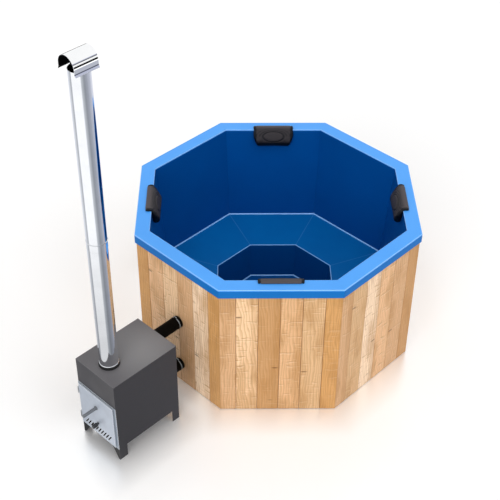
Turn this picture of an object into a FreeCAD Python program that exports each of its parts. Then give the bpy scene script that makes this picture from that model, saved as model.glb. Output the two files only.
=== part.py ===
import FreeCAD, Part
import os
import re
import Sketcher

# Wood-burning hot tub: an eight-sided timber-clad plastic tub with an outside stove.
# The origin is the tub's centre on the ground, +Z is up and the stove stands on the -Y side.

# Driving sizes in millimetres. Half sizes of the tub are measured across its flats.
SIZES = {
    # rim and its hanging edge
    "rim_half": 925,
    "rim_width": 96,
    "rim_high": 1060,
    "rim_plate": 10,
    "rim_round": 4,
    "apron_drop": 55,
    "apron_wall": 8,
    "mitre_play": 0.15,
    # liner
    "liner_wall": 8,
    "wall_lean": 50,
    "bench_high": 330,
    "footwell_half": 401,
    "well_lean": 11,
    "bead_wide": 6,
    "bead_thin": 1,
    "bead_rise": 2,
    "rib_thick": 10,
    "rib_deep": 190,
    "rib_tip": 40,
    "rib_play": 0.3,
    # cladding boards
    "clad_play": 2,
    "clad_lift": 4,
    "clad_head_gap": 2,
    "board_thick": 20,
    "board_wide": 138.5,
    "board_bevel": 3,
    "board_seam": 0.8,
    # timber frame
    "frame_deep": 40,
    "rail_tall": 45,
    "rail_middle": 690,
    "post_leg": 45,
    "frame_play": 0.2,
    "joist_high": 40,
    "joist_wide": 60,
    "joist_edge": 55,
    "joist_play": 2,
    # pillows
    "pillow_wide": 290,
    "pillow_on_rim": 42,
    "pillow_deep": 57,
    "pillow_drop": 122,
    "pillow_rise": 20,
    "pillow_play": 0.3,
    # stove casing
    "stove_gap": 240,
    "stove_shift": 57,
    "stove_wide": 356.5,
    "stove_deep": 508,
    "stove_high": 654,
    "casing_wall": 4,
    "leg_high": 100,
    "leg_front": 65,
    "leg_back": 56,
    "flange_wide": 73,
    "flange_toe": 10,
    # firebox
    "firebox_plate": 5,
    "jacket_side": 39.25,
    "jacket_back": 80,
    "roof_rise": 24,
    "ash_room": 68,
    "grate_thick": 12,
    "grate_play": 1,
    "grate_bar": 10,
    "grate_slot": 12,
    "grate_edge": 18,
    "ledge_wide": 14,
    "pan_play": 8,
    "pan_tall": 48,
    "pan_sheet": 2,
    "pan_pull_wide": 70,
    "pan_pull_out": 22,
    "pan_pull_bar": 8,
    # flue and chimney
    "flue_back": 120,
    "pipe_out": 120,
    "pipe_wall": 1,
    "pipe_fit": 0.15,
    "collar_wall": 5,
    "collar_fit": 0.5,
    "collar_rise": 18,
    "collar_seat": 22,
    "seat_wide": 5,
    "lower_pipe_long": 995,
    "upper_pipe_long": 1145,
    "bell_deep": 52,
    "bell_bead": 1.5,
    "bell_bead_tall": 5,
    "cap_long": 154,
    "cap_out": 126,
    "cap_sheet": 1.2,
    "cap_gap": 35,
    "cap_side": 24,
    "cap_lip": 16,
    "cap_lip_lean": 60,
    "strap_wide": 20,
    "strap_thick": 2,
    "strap_down": 60,
    "strap_play": 0.2,
    # door, frame and hinges
    "frame_plate": 3,
    "frame_hang": 1,
    "frame_sill": 16,
    "frame_head": 4,
    "door_margin": 18.25,
    "door_tall": 343,
    "door_stand": 12,
    "door_gap": 3,
    "door_sheet": 2.5,
    "seal_wide": 7,
    "seal_play": 0.3,
    "window_play": 2.2,
    "hinge_off": 9,
    "knuckle_out": 14,
    "knuckle_tall": 25,
    "knuckle_play": 0.5,
    "hinge_pin": 6,
    "pin_fit": 0.05,
    "hinge_rise": 36,
    "handle_drop": 101,
    "handle_long": 105,
    "handle_across": 22,
    "handle_foot": 30,
    "handle_foot_thick": 4,
    "handle_round": 3,
    # air slots and slide
    "slot_rise": 19,
    "slot_tall": 52,
    "slot_wide": 11,
    "slot_lean": 32,
    "slot_margin": 28,
    "slide_thick": 2,
    "slide_play": 0.3,
    "slide_edge": 3,
    "slide_over": 5,
    "guide_lip": 1.5,
    "guide_wide": 5,
    "knob_rise": 35,
    "knob_shift": 7,
    "knob_out": 28,
    "knob_long": 47,
    "knob_neck": 14,
    "knob_neck_long": 14,
    "knob_shank": 8,
    "knob_play": 1,
    # hoses and fittings
    "hose_out": 84,
    "hose_wall": 7,
    "hose_fit": 0.1,
    "hose_end_gap": 4,
    "hose_drop": 104,
    "hose_rise": 70,
    "port_wall": 3,
    "port_reach": 70,
    "port_play": 0.2,
    "port_inside": 16,
    "clamp_band": 1.5,
    "clamp_wide": 13,
    "clamp_in": 24,
    "clamp_play": 0.1,
    "clamp_box_wide": 20,
    "clamp_box_tall": 11,
    "flange_out": 118,
    "flange_thick": 5,
    "nut_out": 98,
    "nut_thick": 12,
    "grille_out": 104,
    "grille_rise": 16,
    "grille_wall": 3,
    "grille_hole": 13,
    "grille_ring": 30,
    # drain
    "drain_side": 69,
    "drain_back": 150,
    "drain_out": 80,
    "drain_thick": 3,
    "drain_neck": 35,
    "drain_hole": 8,
    "drain_ring": 22,
    "drain_fit": 0.2,
    "drain_down": 16,
    "drain_pipe_out": 32,
    "drain_pipe_wall": 2,
    "drain_pipe_high": 20,
    "drain_socket": 44,
    "drain_notch_play": 2,
    "valve_gap": 10,
    "valve_out": 36,
    "valve_nut_long": 16,
    "valve_body_out": 33,
    "valve_body_long": 40,
    "valve_tail_out": 26.4,
    "valve_tail_long": 20,
    "valve_bore": 18,
    "valve_boss_out": 16,
    "valve_boss_top": 44,
    "valve_stem": 8,
    "valve_stem_in": 5,
    "lever_play": 0.3,
    "lever_thick": 3,
    "lever_wide": 16,
    "lever_tip": 11,
    "lever_long": 84,
    # cuts run this far past the faces they leave
    "overrun": 20,
}

# Counts of what repeats.
SIDES = 8
FULL_BOARDS_PER_HALF_FACE = 2
JOISTS_PER_SIDE = 3
AIR_SLOTS = 10
GRATE_SLOTS = 15
GRILLE_HOLES = 8

# Sizes that follow from the driving ones.
WORKED = {
    "joist_pitch": f"(clad_in - joist_edge) / {JOISTS_PER_SIDE}",
    "hose_upper": "stove_high - hose_drop",
    "hose_lower": "leg_high + hose_rise",
    "half_side_share": "tan(180 / 8)",
    "rim_in": "rim_half - rim_width",
    "rim_under": "rim_high - rim_plate",
    "clad_half": "rim_half - apron_wall - clad_play",
    "clad_in": "clad_half - board_thick",
    "clad_top": "rim_under - clad_head_gap",
    "wall_foot": "rim_in - wall_lean",
    "lean_share": "wall_lean / (rim_under - bench_high)",
    "bench_under": "bench_high - liner_wall",
    "floor_top": "joist_high + liner_wall",
    "well_foot": "footwell_half - well_lean",
    "well_share": "well_lean / (bench_under - floor_top)",
    "upper_wall": "wall_foot + lean_share * (hose_upper - bench_high)",
    "lower_wall": "well_foot + well_share * (hose_lower - floor_top)",
    "stove_left": "stove_shift - stove_wide / 2",
    "stove_right": "stove_shift + stove_wide / 2",
    "stove_back": "clad_half + stove_gap",
    "stove_front": "stove_back + stove_deep",
    "casing_top": "stove_high - casing_wall",
    "fire_left": "stove_left + casing_wall + jacket_side + firebox_plate",
    "fire_right": "stove_right - casing_wall - jacket_side - firebox_plate",
    "firebox_low": "door_low + seal_inset + window_play",
    "window_top": "door_top - seal_inset - window_play",
    "firebox_top": "window_top + roof_rise",
    "grate_high": "firebox_low + ash_room",
    "fire_front": "stove_front - casing_wall",
    "fire_back": "stove_back + jacket_back",
    "flue_y": "stove_front - flue_back",
    "collar_in": "pipe_out / 2 + collar_fit",
    "collar_out": "collar_in + collar_wall",
    "roof_top": "firebox_top + firebox_plate",
    "pipe_foot": "stove_high - collar_seat",
    "pipe_in": "pipe_out / 2 - pipe_wall",
    "bell_top": "pipe_foot + lower_pipe_long",
    "bell_foot": "bell_top - bell_deep",
    "pipe_top": "bell_foot + upper_pipe_long",
    "bell_in": "pipe_out / 2 + pipe_fit",
    "bell_out": "bell_in + pipe_wall",
    "cap_in": "cap_out / 2 - cap_sheet",
    "cap_centre": "pipe_top + cap_gap",
    "frame_face": "stove_front + frame_plate",
    "door_back": "frame_face + door_gap",
    "door_face": "frame_face + door_stand",
    "door_left": "stove_left + door_margin",
    "door_right": "stove_right - door_margin",
    "door_frame_low": "leg_high - frame_hang",
    "door_low": "door_frame_low + frame_sill",
    "door_top": "door_low + door_tall",
    "door_frame_top": "door_top + frame_head",
    "seal_inset": "door_sheet + seal_play + seal_wide",
    "handle_high": "door_top - handle_drop",
    "sheet_back": "door_face - door_sheet",
    "hinge_x": "door_left - hinge_off",
    "hinge_y": "frame_face + knuckle_out / 2 + knuckle_play",
    "slot_slant": "slot_tall * tan(slot_lean)",
    "slot_low": "door_low + slot_rise",
    "slot_row": "stove_wide - 2 * door_margin - 2 * slot_margin - slot_slant - slot_wide",
    "slot_pitch": f"slot_row / {AIR_SLOTS - 1}",
    "knob_high": "slot_low + slot_tall + knob_rise",
    "slide_travel": "slot_pitch / 2",
    "slide_low": "slot_low - slide_edge",
    "slide_top": "knob_high + knob_neck",
    "hose_in": "hose_out / 2 - hose_wall",
    "port_out": "hose_in - hose_fit",
    "hose_start": "stove_back - hose_end_gap",
    "hose_stop": "clad_half + hose_end_gap",
    "drain_y": "-drain_back",
    "drain_bore": "drain_pipe_out / 2 - drain_pipe_wall",
    "valve_start": "clad_half + valve_gap",
    "valve_mid": "valve_start + valve_nut_long + valve_body_long / 2",
}

FACES = ("front", "front_right", "right", "back_right", "back", "back_left", "left", "front_left")
PILLOW_FACES = ("front_right", "back_right", "back_left", "front_left")

# Pillow section: places as shares of its depth into the tub, drop, rise and seat on the rim.
PILLOW_BACK_DROP_SHARE = 0.90
PILLOW_BOTTOM_SHARES = ((0.45, -1.0), (0.93, -0.86))
PILLOW_FRONT_SHARES = ((1.0, -0.66), (0.80, -0.42))
PILLOW_SLOPE_SHARES = ((0.44, -0.14), (0.06, 0.5))
PILLOW_CROWN_SHARES = ((-0.30, 1.0), (-0.70, 0.86))
PILLOW_OUTER_SHARES = ((-1.0, 0.42), (-0.93, 0.0))

# Pillow stations from one end to the middle: places as shares of the half width, each with the shares
# of the full section that lie on the rim and that hang in the tub.
PILLOW_STATION_SHARES = (
    (1.0, 0.80, 0.25), (0.95, 0.92, 0.45), (0.90, 0.86, 0.58), (0.86, 0.96, 0.72), (0.76, 1.0, 0.93),
    (0.60, 1.0, 1.0), (0.0, 1.0, 1.0),
)

doc = FreeCAD.newDocument("WoodBurningHotTub")
sheet = doc.addObject("Spreadsheet::Sheet", "Sizes")
for row, (alias, size) in enumerate(SIZES.items(), start=1):
    sheet.set(f"A{row}", alias)
    sheet.set(f"B{row}", str(size))
    sheet.setAlias(f"B{row}", alias)
doc.recompute()

PIECES = []
NAME = re.compile(r"[a-z_][a-z_0-9]*")


def sized(text):
    """Expression in which each named size is its cell and each worked-out size is written out."""
    def swap(found):
        name = found.group()
        if name in SIZES:
            return "Sizes." + name
        if name in WORKED:
            return "(" + sized(WORKED[name]) + ")"
        return name
    return NAME.sub(swap, str(text))


def value(text):
    """Present value of an expression of named sizes."""
    answer = sheet.evalExpression(sized(text))
    return float(getattr(answer, "Value", answer))


def keep(piece):
    """Enter a finished sub-part in the list that is checked and written."""
    PIECES.append(piece)
    return piece


def add(kind, label, **sizes):
    """Document object with its sizes bound to the sheet."""
    piece = doc.addObject(kind, label)
    piece.Label = label
    for prop, text in sizes.items():
        piece.setExpression(prop, sized(text))
    return piece


def place(piece, x="0", y="0", z="0", axis=(0, 0, 1), turn="0"):
    """Turn a piece about an axis and bind its place to the sheet."""
    piece.Placement = FreeCAD.Placement(
        FreeCAD.Vector(), FreeCAD.Rotation(FreeCAD.Vector(*axis), value(turn)))
    piece.setExpression("Placement.Base.x", sized(x))
    piece.setExpression("Placement.Base.y", sized(y))
    piece.setExpression("Placement.Base.z", sized(z))
    return piece


def tilt(piece, turn):
    """Bind the angle of a piece that place has turned."""
    piece.setExpression("Placement.Rotation.Angle", sized(turn))
    return piece


def block(label, low, high):
    """Square block between two corners."""
    spans = [f"({top}) - ({foot})" for foot, top in zip(low, high)]
    piece = add("Part::Box", label, Length=spans[0], Width=spans[1], Height=spans[2])
    return place(piece, *low)


def rod(label, radius, length, at, along="z"):
    """Round rod from a point, along +Z, +Y or +X."""
    piece = add("Part::Cylinder", label, Radius=radius, Height=length)
    axis, turn = {"z": ((0, 0, 1), "0"), "y": ((1, 0, 0), "-90"), "x": ((0, 1, 0), "90")}[along]
    return place(piece, *at, axis=axis, turn=turn)


def group(label, members):
    """Separate solids that share one node."""
    piece = doc.addObject("Part::Compound", label)
    piece.Label = label
    piece.Links = members
    return piece


def joined(label, members):
    """Members fused into one solid."""
    piece = doc.addObject("Part::MultiFuse", label)
    piece.Label = label
    piece.Shapes = members
    piece.Refine = True
    return piece


def cut(label, base, tools):
    """Base with the tools taken out of it."""
    piece = doc.addObject("Part::Cut", label)
    piece.Label = label
    piece.Base = base
    piece.Tool = tools[0] if len(tools) == 1 else joined(label + "_tools", tools)
    return piece


def new_body(label):
    """Empty body that may hold several solids."""
    body = doc.addObject("PartDesign::Body", label)
    body.Label = label
    body.AllowCompound = True
    return body


def datum(body, role):
    """Origin plane or axis of a body."""
    return next(item for item in body.Origin.OriginFeatures if item.Role == role)


def draw_loop(sketch, corners):
    """Closed straight-sided loop whose corners are bound to the sheet."""
    spots = [FreeCAD.Vector(value(x), value(y), 0) for x, y in corners]
    first = sketch.GeometryCount
    last = len(corners)
    sketch.addGeometry([Part.LineSegment(spots[i], spots[(i + 1) % last]) for i in range(last)], False)
    rules = [Sketcher.Constraint("Coincident", first + i, 2, first + (i + 1) % last, 1) for i in range(last)]
    bound = []
    for i, (x, y) in enumerate(corners):
        for kind, text, size, axis in (("DistanceX", x, spots[i].x, -2), ("DistanceY", y, spots[i].y, -1)):
            if text == "0":
                rules.append(Sketcher.Constraint("PointOnObject", first + i, 1, axis))
            else:
                bound.append((sketch.ConstraintCount + len(rules), text))
                rules.append(Sketcher.Constraint(kind, -1, 1, first + i, 1, size))
    sketch.addConstraint(rules)
    for index, text in bound:
        sketch.setExpression(f"Constraints[{index}]", sized(text))


def sketch_on(body, name, plane, loops, lift="0"):
    """Sketch on an origin plane of its body, lifted along the plane's normal."""
    sketch = body.newObject("Sketcher::SketchObject", name)
    sketch.AttachmentSupport = [(datum(body, plane), "")]
    sketch.MapMode = "FlatFace"
    sketch.setExpression("AttachmentOffset.Base.z", sized(lift))
    for corners in loops:
        draw_loop(sketch, corners)
    return sketch


def feature(body, kind, name, sketch, **sizes):
    """Sketch-based feature at the tip of a body."""
    made = body.newObject("PartDesign::" + kind, name)
    made.Profile = sketch
    for prop, text in sizes.items():
        made.setExpression(prop, sized(text))
    body.Tip = made
    return made


def padded(label, plane, loops, length, lift="0"):
    """Body made by padding loops drawn on an origin plane."""
    body = new_body(label)
    sketch = sketch_on(body, label + "_sketch", plane, loops, lift)
    feature(body, "Pad", label + "_pad", sketch, Length=length)
    return body


def turned(label, corners):
    """Body of revolution about its own Z axis, corners as radius and height."""
    body = new_body(label)
    sketch = sketch_on(body, label + "_profile", "XZ_Plane", [corners])
    spin = feature(body, "Revolution", label + "_spin", sketch)
    spin.ReferenceAxis = (sketch, ["V_Axis"])
    spin.Angle = 360
    return body


def around(body, name, source, copies):
    """Polar pattern of a feature about the body's Z axis."""
    pattern = body.newObject("PartDesign::PolarPattern", name)
    pattern.Originals = [source]
    pattern.Axis = (datum(body, "Z_Axis"), [""])
    pattern.Angle = 360
    pattern.Occurrences = copies
    body.Tip = pattern
    return pattern


def in_row(body, name, source, axis, pitch, copies):
    """Linear pattern of a feature along an axis of its body."""
    pattern = body.newObject("PartDesign::LinearPattern", name)
    pattern.Originals = [source]
    pattern.Direction = (datum(body, axis), [""])
    pattern.setExpression("Length", sized(f"({pitch}) * {copies - 1}"))
    pattern.Occurrences = copies
    body.Tip = pattern
    return pattern


def rectangle(left, low, right, high):
    """Corners of an upright rectangle."""
    return [(left, low), (right, low), (right, high), (left, high)]


def trapezoid(outer, inner):
    """Plan of one mitred side of the octagon on its -Y side."""
    far = f"({outer}) * half_side_share - mitre_play"
    near = f"({inner}) * half_side_share - mitre_play"
    return [
        (f"-({far})", f"-({outer})"), (far, f"-({outer})"),
        (near, f"-({inner})"), (f"-({near})", f"-({inner})"),
    ]


def mitred_ring(label, low, high):
    """Eight mitred lengths. low and high hold height, outer half and inner half."""
    body = new_body(label)
    foot = sketch_on(body, label + "_foot", "XY_Plane", [trapezoid(*low[1:])], low[0])
    head = sketch_on(body, label + "_head", "XY_Plane", [trapezoid(*high[1:])], high[0])
    side = feature(body, "AdditiveLoft", label + "_side", foot)
    side.Sections = [head]
    side.Ruled = True
    around(body, label + "_round", side, SIDES)
    return body


def upright_ring(label, outer, inner, low, high):
    """Eight mitred lengths with upright faces."""
    body = padded(label, "XY_Plane", [trapezoid(outer, inner)], f"({high}) - ({low})", low)
    around(body, label + "_round", body.Tip, SIDES)
    return body


def edges_centred(shape, height, offsets):
    """Names of the edges whose middle lies at x zero, at a height and at one distance towards -Y."""
    spots = [FreeCAD.Vector(0, -value(offset), value(height)) for offset in offsets]
    near = FreeCAD.Base.Precision.approximation()
    return [f"Edge{number}" for number, edge in enumerate(shape.Edges, start=1)
            if any(spot.isEqual(edge.CenterOfMass, near) for spot in spots)]


def make_rim():
    """Flat rim plates with rounded top edges, and the strips that hang under their outer edge."""
    rim = padded("rim_top", "XY_Plane", [trapezoid("rim_half", "rim_in")], "rim_plate", "rim_under")
    doc.recompute()
    plate = rim.Tip
    rounded = rim.newObject("PartDesign::Fillet", "rim_top_round")
    rounded.Base = (plate, edges_centred(plate.Shape, "rim_high", ("rim_half", "rim_in")))
    rounded.setExpression("Radius", sized("rim_round"))
    rim.Tip = rounded
    around(rim, "rim_top_ring", rounded, SIDES).TransformMode = "Whole shape"
    keep(rim)
    keep(upright_ring("rim_apron", "rim_half", "rim_half - apron_wall",
                      "rim_under - apron_drop", "rim_under"))


def make_liner():
    """Welded liner: leaning walls, bench, footwell and floor, bored for the fittings."""
    walls = mitred_ring(
        "liner_walls_blank",
        ("bench_high", "wall_foot + liner_wall", "wall_foot"),
        ("rim_under", "rim_in + liner_wall", "rim_in"))
    bore = rod("upper_bore", "port_out + port_play", "liner_wall + 2 * overrun",
               ("0", "-(upper_wall + liner_wall + overrun)", "hose_upper"), "y")
    keep(cut("liner_walls", walls, [bore]))

    keep(upright_ring("bench_top", "wall_foot + liner_wall", "footwell_half", "bench_under", "bench_high"))

    well = mitred_ring(
        "footwell_walls_blank",
        ("floor_top", "well_foot + liner_wall", "well_foot"),
        ("bench_under", "footwell_half + liner_wall", "footwell_half"))
    bore = rod("lower_bore", "port_out + port_play", "liner_wall + 2 * overrun",
               ("0", "-(lower_wall + liner_wall + overrun)", "hose_lower"), "y")
    keep(cut("footwell_walls", well, [bore]))

    plate = add("Part::Prism", "tub_floor_plate", Height="liner_wall",
                Circumradius="(well_foot + liner_wall) / cos(180 / 8)")
    plate.Polygon = SIDES
    place(plate, z="joist_high", turn="180 / 8")
    hole = rod("floor_hole", "drain_neck / 2 + drain_fit", "liner_wall + 2 * overrun",
               ("drain_side", "drain_y", "joist_high - overrun"))
    keep(cut("tub_floor", plate, [hole]))


def make_welds():
    """Beads along the bench's outer edge, the footwell's top edge and the footwell's foot."""
    corner = mitred_ring(
        "bench_bead",
        ("bench_high", "wall_foot", "wall_foot - bead_wide"),
        ("bench_high + bead_wide", "wall_foot + lean_share * bead_wide", "wall_foot - bead_thin"))
    edge = mitred_ring(
        "edge_bead",
        ("bench_high", "footwell_half + bead_wide", "footwell_half"),
        ("bench_high + bead_rise", "footwell_half + bead_wide - bead_thin", "footwell_half + bead_thin"))
    foot = mitred_ring(
        "floor_bead",
        ("floor_top", "well_foot", "well_foot - bead_wide"),
        ("floor_top + bead_wide", "well_foot + well_share * bead_wide", "well_foot - bead_thin"))
    keep(group("weld_beads", [corner, edge, foot]))


def make_ribs():
    """Tapered ribs under the bench, one behind each corner of the footwell."""
    corner = "cos(180 / 8)"
    inner_top = f"(footwell_half + liner_wall) / {corner} + rib_play"
    inner_foot = f"(footwell_half + liner_wall - well_share * rib_deep) / {corner} + rib_play"
    outer = f"(wall_foot + liner_wall) / {corner}"
    outline = [
        (inner_foot, "bench_under - rib_deep"), (outer, "bench_under - rib_tip"),
        (outer, "bench_under"), (inner_top, "bench_under"),
    ]
    body = new_body("bench_ribs")
    sketch = sketch_on(body, "bench_ribs_sketch", "XZ_Plane", [outline], "-rib_thick / 2")
    rib = feature(body, "Pad", "bench_ribs_pad", sketch, Length="rib_thick")
    around(body, "bench_ribs_round", rib, SIDES)
    place(body, turn="180 / 8")
    keep(body)


def board_loops():
    """Plans of the six boards of one face, outer edges bevelled, the end boards mitred."""
    face = "-clad_half"
    shoulder = "-clad_half + board_bevel"
    back = "-clad_in"
    loops = []
    for number in range(-FULL_BOARDS_PER_HALF_FACE, FULL_BOARDS_PER_HALF_FACE):
        left = f"board_wide * {number} + board_seam / 2"
        right = f"board_wide * {number + 1} - board_seam / 2"
        loops.append([
            (left, back), (right, back), (right, shoulder),
            (f"{right} - board_bevel", face), (f"{left} + board_bevel", face), (left, shoulder),
        ])
    start = f"board_wide * {FULL_BOARDS_PER_HALF_FACE} + board_seam / 2"
    for sign in ("", "-"):
        loops.append([
            (f"{sign}({start})", back),
            (f"{sign}(clad_in * half_side_share - mitre_play)", back),
            (f"{sign}(clad_half * half_side_share - mitre_play)", face),
            (f"{sign}({start} + board_bevel)", face),
            (f"{sign}({start})", shoulder),
        ])
    return loops


def make_cladding():
    """Boards of the eight faces, bored for the hoses in front and notched for the drain behind."""
    loops = board_loops()
    for number, face in enumerate(FACES):
        label = "cladding_" + face
        tools = []
        if face == "front":
            for height in ("hose_upper", "hose_lower"):
                tools.append(rod(label + "_bore", "port_out + port_play", "board_thick + 2 * overrun",
                                 ("0", "-(clad_half + overrun)", height), "y"))
        if face == "back":
            half = "drain_pipe_out / 2 + drain_notch_play"
            tools.append(rod(label + "_bore", half, "board_thick + 2 * overrun",
                             ("drain_side", "clad_in - overrun", "drain_pipe_high"), "y"))
            tools.append(block(label + "_notch",
                               (f"drain_side - ({half})", "clad_in - overrun", "-overrun"),
                               (f"drain_side + {half}", "clad_half + overrun", "drain_pipe_high")))
        boards = padded(label + "_boards" if tools else label, "XY_Plane", loops,
                        "clad_top - clad_lift", "clad_lift")
        place(boards, turn=f"{number} * 360 / 8")
        keep(cut(label, boards, tools) if tools else boards)


def make_frame():
    """Posts behind the corners, three rings of rails between them and joists under the floor."""
    along, across = "sin(67.5)", "cos(67.5)"
    corner = "clad_in / cos(180 / 8) - frame_play"
    shoulder = (f"{corner} - post_leg * {across}", f"post_leg * {along}")
    inner = (f"{corner} - post_leg * {across} - frame_deep * {along}",
             f"post_leg * {along} - frame_deep * {across}")
    outline = [
        (corner, "0"), shoulder, inner,
        (inner[0], f"-({inner[1]})"), (shoulder[0], f"-({shoulder[1]})"),
    ]
    posts = padded("corner_posts", "XY_Plane", [outline], "rim_under - joist_high", "joist_high")
    around(posts, "corner_posts_round", posts.Tip, SIDES)
    place(posts, turn="180 / 8")
    keep(posts)

    reach = "clad_in * half_side_share - post_leg - 2 * frame_play"
    plan = rectangle(f"-({reach})", "-clad_in", reach, "-clad_in + frame_deep")
    rings = []
    for name, low in (("base", "joist_high"), ("middle", "rail_middle"), ("top", "rim_under - rail_tall")):
        ring = padded(name + "_rails", "XY_Plane", [plan], "rail_tall", low)
        around(ring, name + "_rails_round", ring.Tip, SIDES)
        rings.append(ring)
    keep(group("frame_rails", rings))

    joists = []
    for number in range(-JOISTS_PER_SIDE, JOISTS_PER_SIDE + 1):
        middle = f"joist_pitch * {number}"
        edge = f"joist_pitch * {abs(number)} + joist_wide / 2"
        half = f"min(clad_in - joist_play; (clad_in - joist_play) * sqrt(2) - ({edge}))"
        joists.append(block(f"joist_{number + JOISTS_PER_SIDE}",
                            (f"{middle} - joist_wide / 2", f"-{half}", "0"),
                            (f"{middle} + joist_wide / 2", half, "joist_high")))
    keep(group("base_joists", joists))


def pillow_section(station, on_rim, hanging):
    """Closed outline of a pillow at one station, drawn towards the corner where rim and wall meet."""
    play = value("pillow_play")
    deep, drop = value("pillow_deep") * hanging, value("pillow_drop") * hanging
    rise, seat = value("pillow_rise") * on_rim, value("pillow_on_rim") * on_rim
    across = station * value("pillow_wide") / 2

    def spot(inward, upward):
        return FreeCAD.Vector(across, play - value("rim_in") + inward, play + value("rim_high") + upward)

    def shared(shares):
        return [spot(a * (deep if a > 0 else seat), b * (rise if b > 0 else drop)) for a, b in shares]

    back_drop = drop * PILLOW_BACK_DROP_SHARE
    corner, last = spot(0, 0), spot(value("lean_share") * back_drop, -back_drop)
    edges = [Part.LineSegment(corner, last).toShape()]
    for shares in (PILLOW_BOTTOM_SHARES, PILLOW_FRONT_SHARES, PILLOW_SLOPE_SHARES,
                   PILLOW_CROWN_SHARES, PILLOW_OUTER_SHARES):
        middle, end = shared(shares)
        edges.append(Part.Arc(last, middle, end).toShape())
        last = end
    edges.append(Part.LineSegment(last, corner).toShape())
    return Part.Wire(edges)


def make_pillows():
    """Moulded neck pillows hooked over the rim at the middle of every second wall."""
    left = [(-out, on_rim, hanging) for out, on_rim, hanging in PILLOW_STATION_SHARES]
    stations = left + list(reversed(PILLOW_STATION_SHARES[:-1]))
    sections = [pillow_section(*station) for station in stations]
    for face in PILLOW_FACES:
        pillow = doc.addObject("Part::Feature", "pillow_" + face)
        pillow.Label = "pillow_" + face
        pillow.Shape = Part.makeLoft(sections, True, False)
        pillow.Placement = FreeCAD.Placement(
            FreeCAD.Vector(), FreeCAD.Rotation(FreeCAD.Vector(0, 0, 1), FACES.index(face) * 360 / SIDES))
        keep(pillow)


def make_casing():
    """Outer plates of the stove. The side plates run down as legs."""
    side = [
        ("-stove_front", "0"), ("-stove_front + leg_front", "0"), ("-stove_front + leg_front", "leg_high"),
        ("-stove_back - leg_back", "leg_high"), ("-stove_back - leg_back", "0"), ("-stove_back", "0"),
        ("-stove_back", "casing_top"), ("-stove_front", "casing_top"),
    ]
    keep(padded("stove_side_left", "YZ_Plane", [side], "casing_wall", "stove_left"))
    keep(padded("stove_side_right", "YZ_Plane", [side], "casing_wall", "stove_right - casing_wall"))

    left, right = "stove_left + casing_wall", "stove_right - casing_wall"
    top = block("stove_top_plate", ("stove_left", "-stove_front", "casing_top"),
                ("stove_right", "-stove_back", "stove_high"))
    hole = rod("stove_top_hole", "collar_out + port_play", "casing_wall + 2 * overrun",
               ("stove_shift", "-flue_y", "casing_top - overrun"))
    keep(cut("stove_top", top, [hole]))

    back = block("stove_back_plate", (left, "-stove_back - casing_wall", "leg_high"),
                 (right, "-stove_back", "casing_top"))
    bores = [rod("stove_back_bore", "port_out + port_play", "casing_wall + 2 * overrun",
                 ("0", "-stove_back - casing_wall - overrun", height), "y")
             for height in ("hose_upper", "hose_lower")]
    keep(cut("stove_back", back, bores))

    keep(block("stove_bottom", (left, "-fire_front", "leg_high"),
               (right, "-stove_back - casing_wall", "leg_high + casing_wall")))

    front = block("stove_front_plate", (left, "-stove_front", "leg_high"),
                  (right, "-fire_front", "casing_top"))
    window = block("stove_front_window", ("fire_left", "-stove_front - overrun", "firebox_low"),
                   ("fire_right", "-fire_front + overrun", "window_top"))
    keep(cut("stove_front", front, [window]))

    flanges = []
    for name, start, sign in (("left", left, "+"), ("right", right, "-")):
        outline = [
            (start, "0"), (f"{start} {sign} flange_toe", "0"),
            (f"{start} {sign} flange_wide", "leg_high"), (start, "leg_high"),
        ]
        for end, lift in (("front", "stove_front - casing_wall"), ("back", "stove_back")):
            flanges.append(padded(f"flange_{end}_{name}", "XZ_Plane", [outline], "casing_wall", lift))
    keep(group("leg_flanges", flanges))


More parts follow.
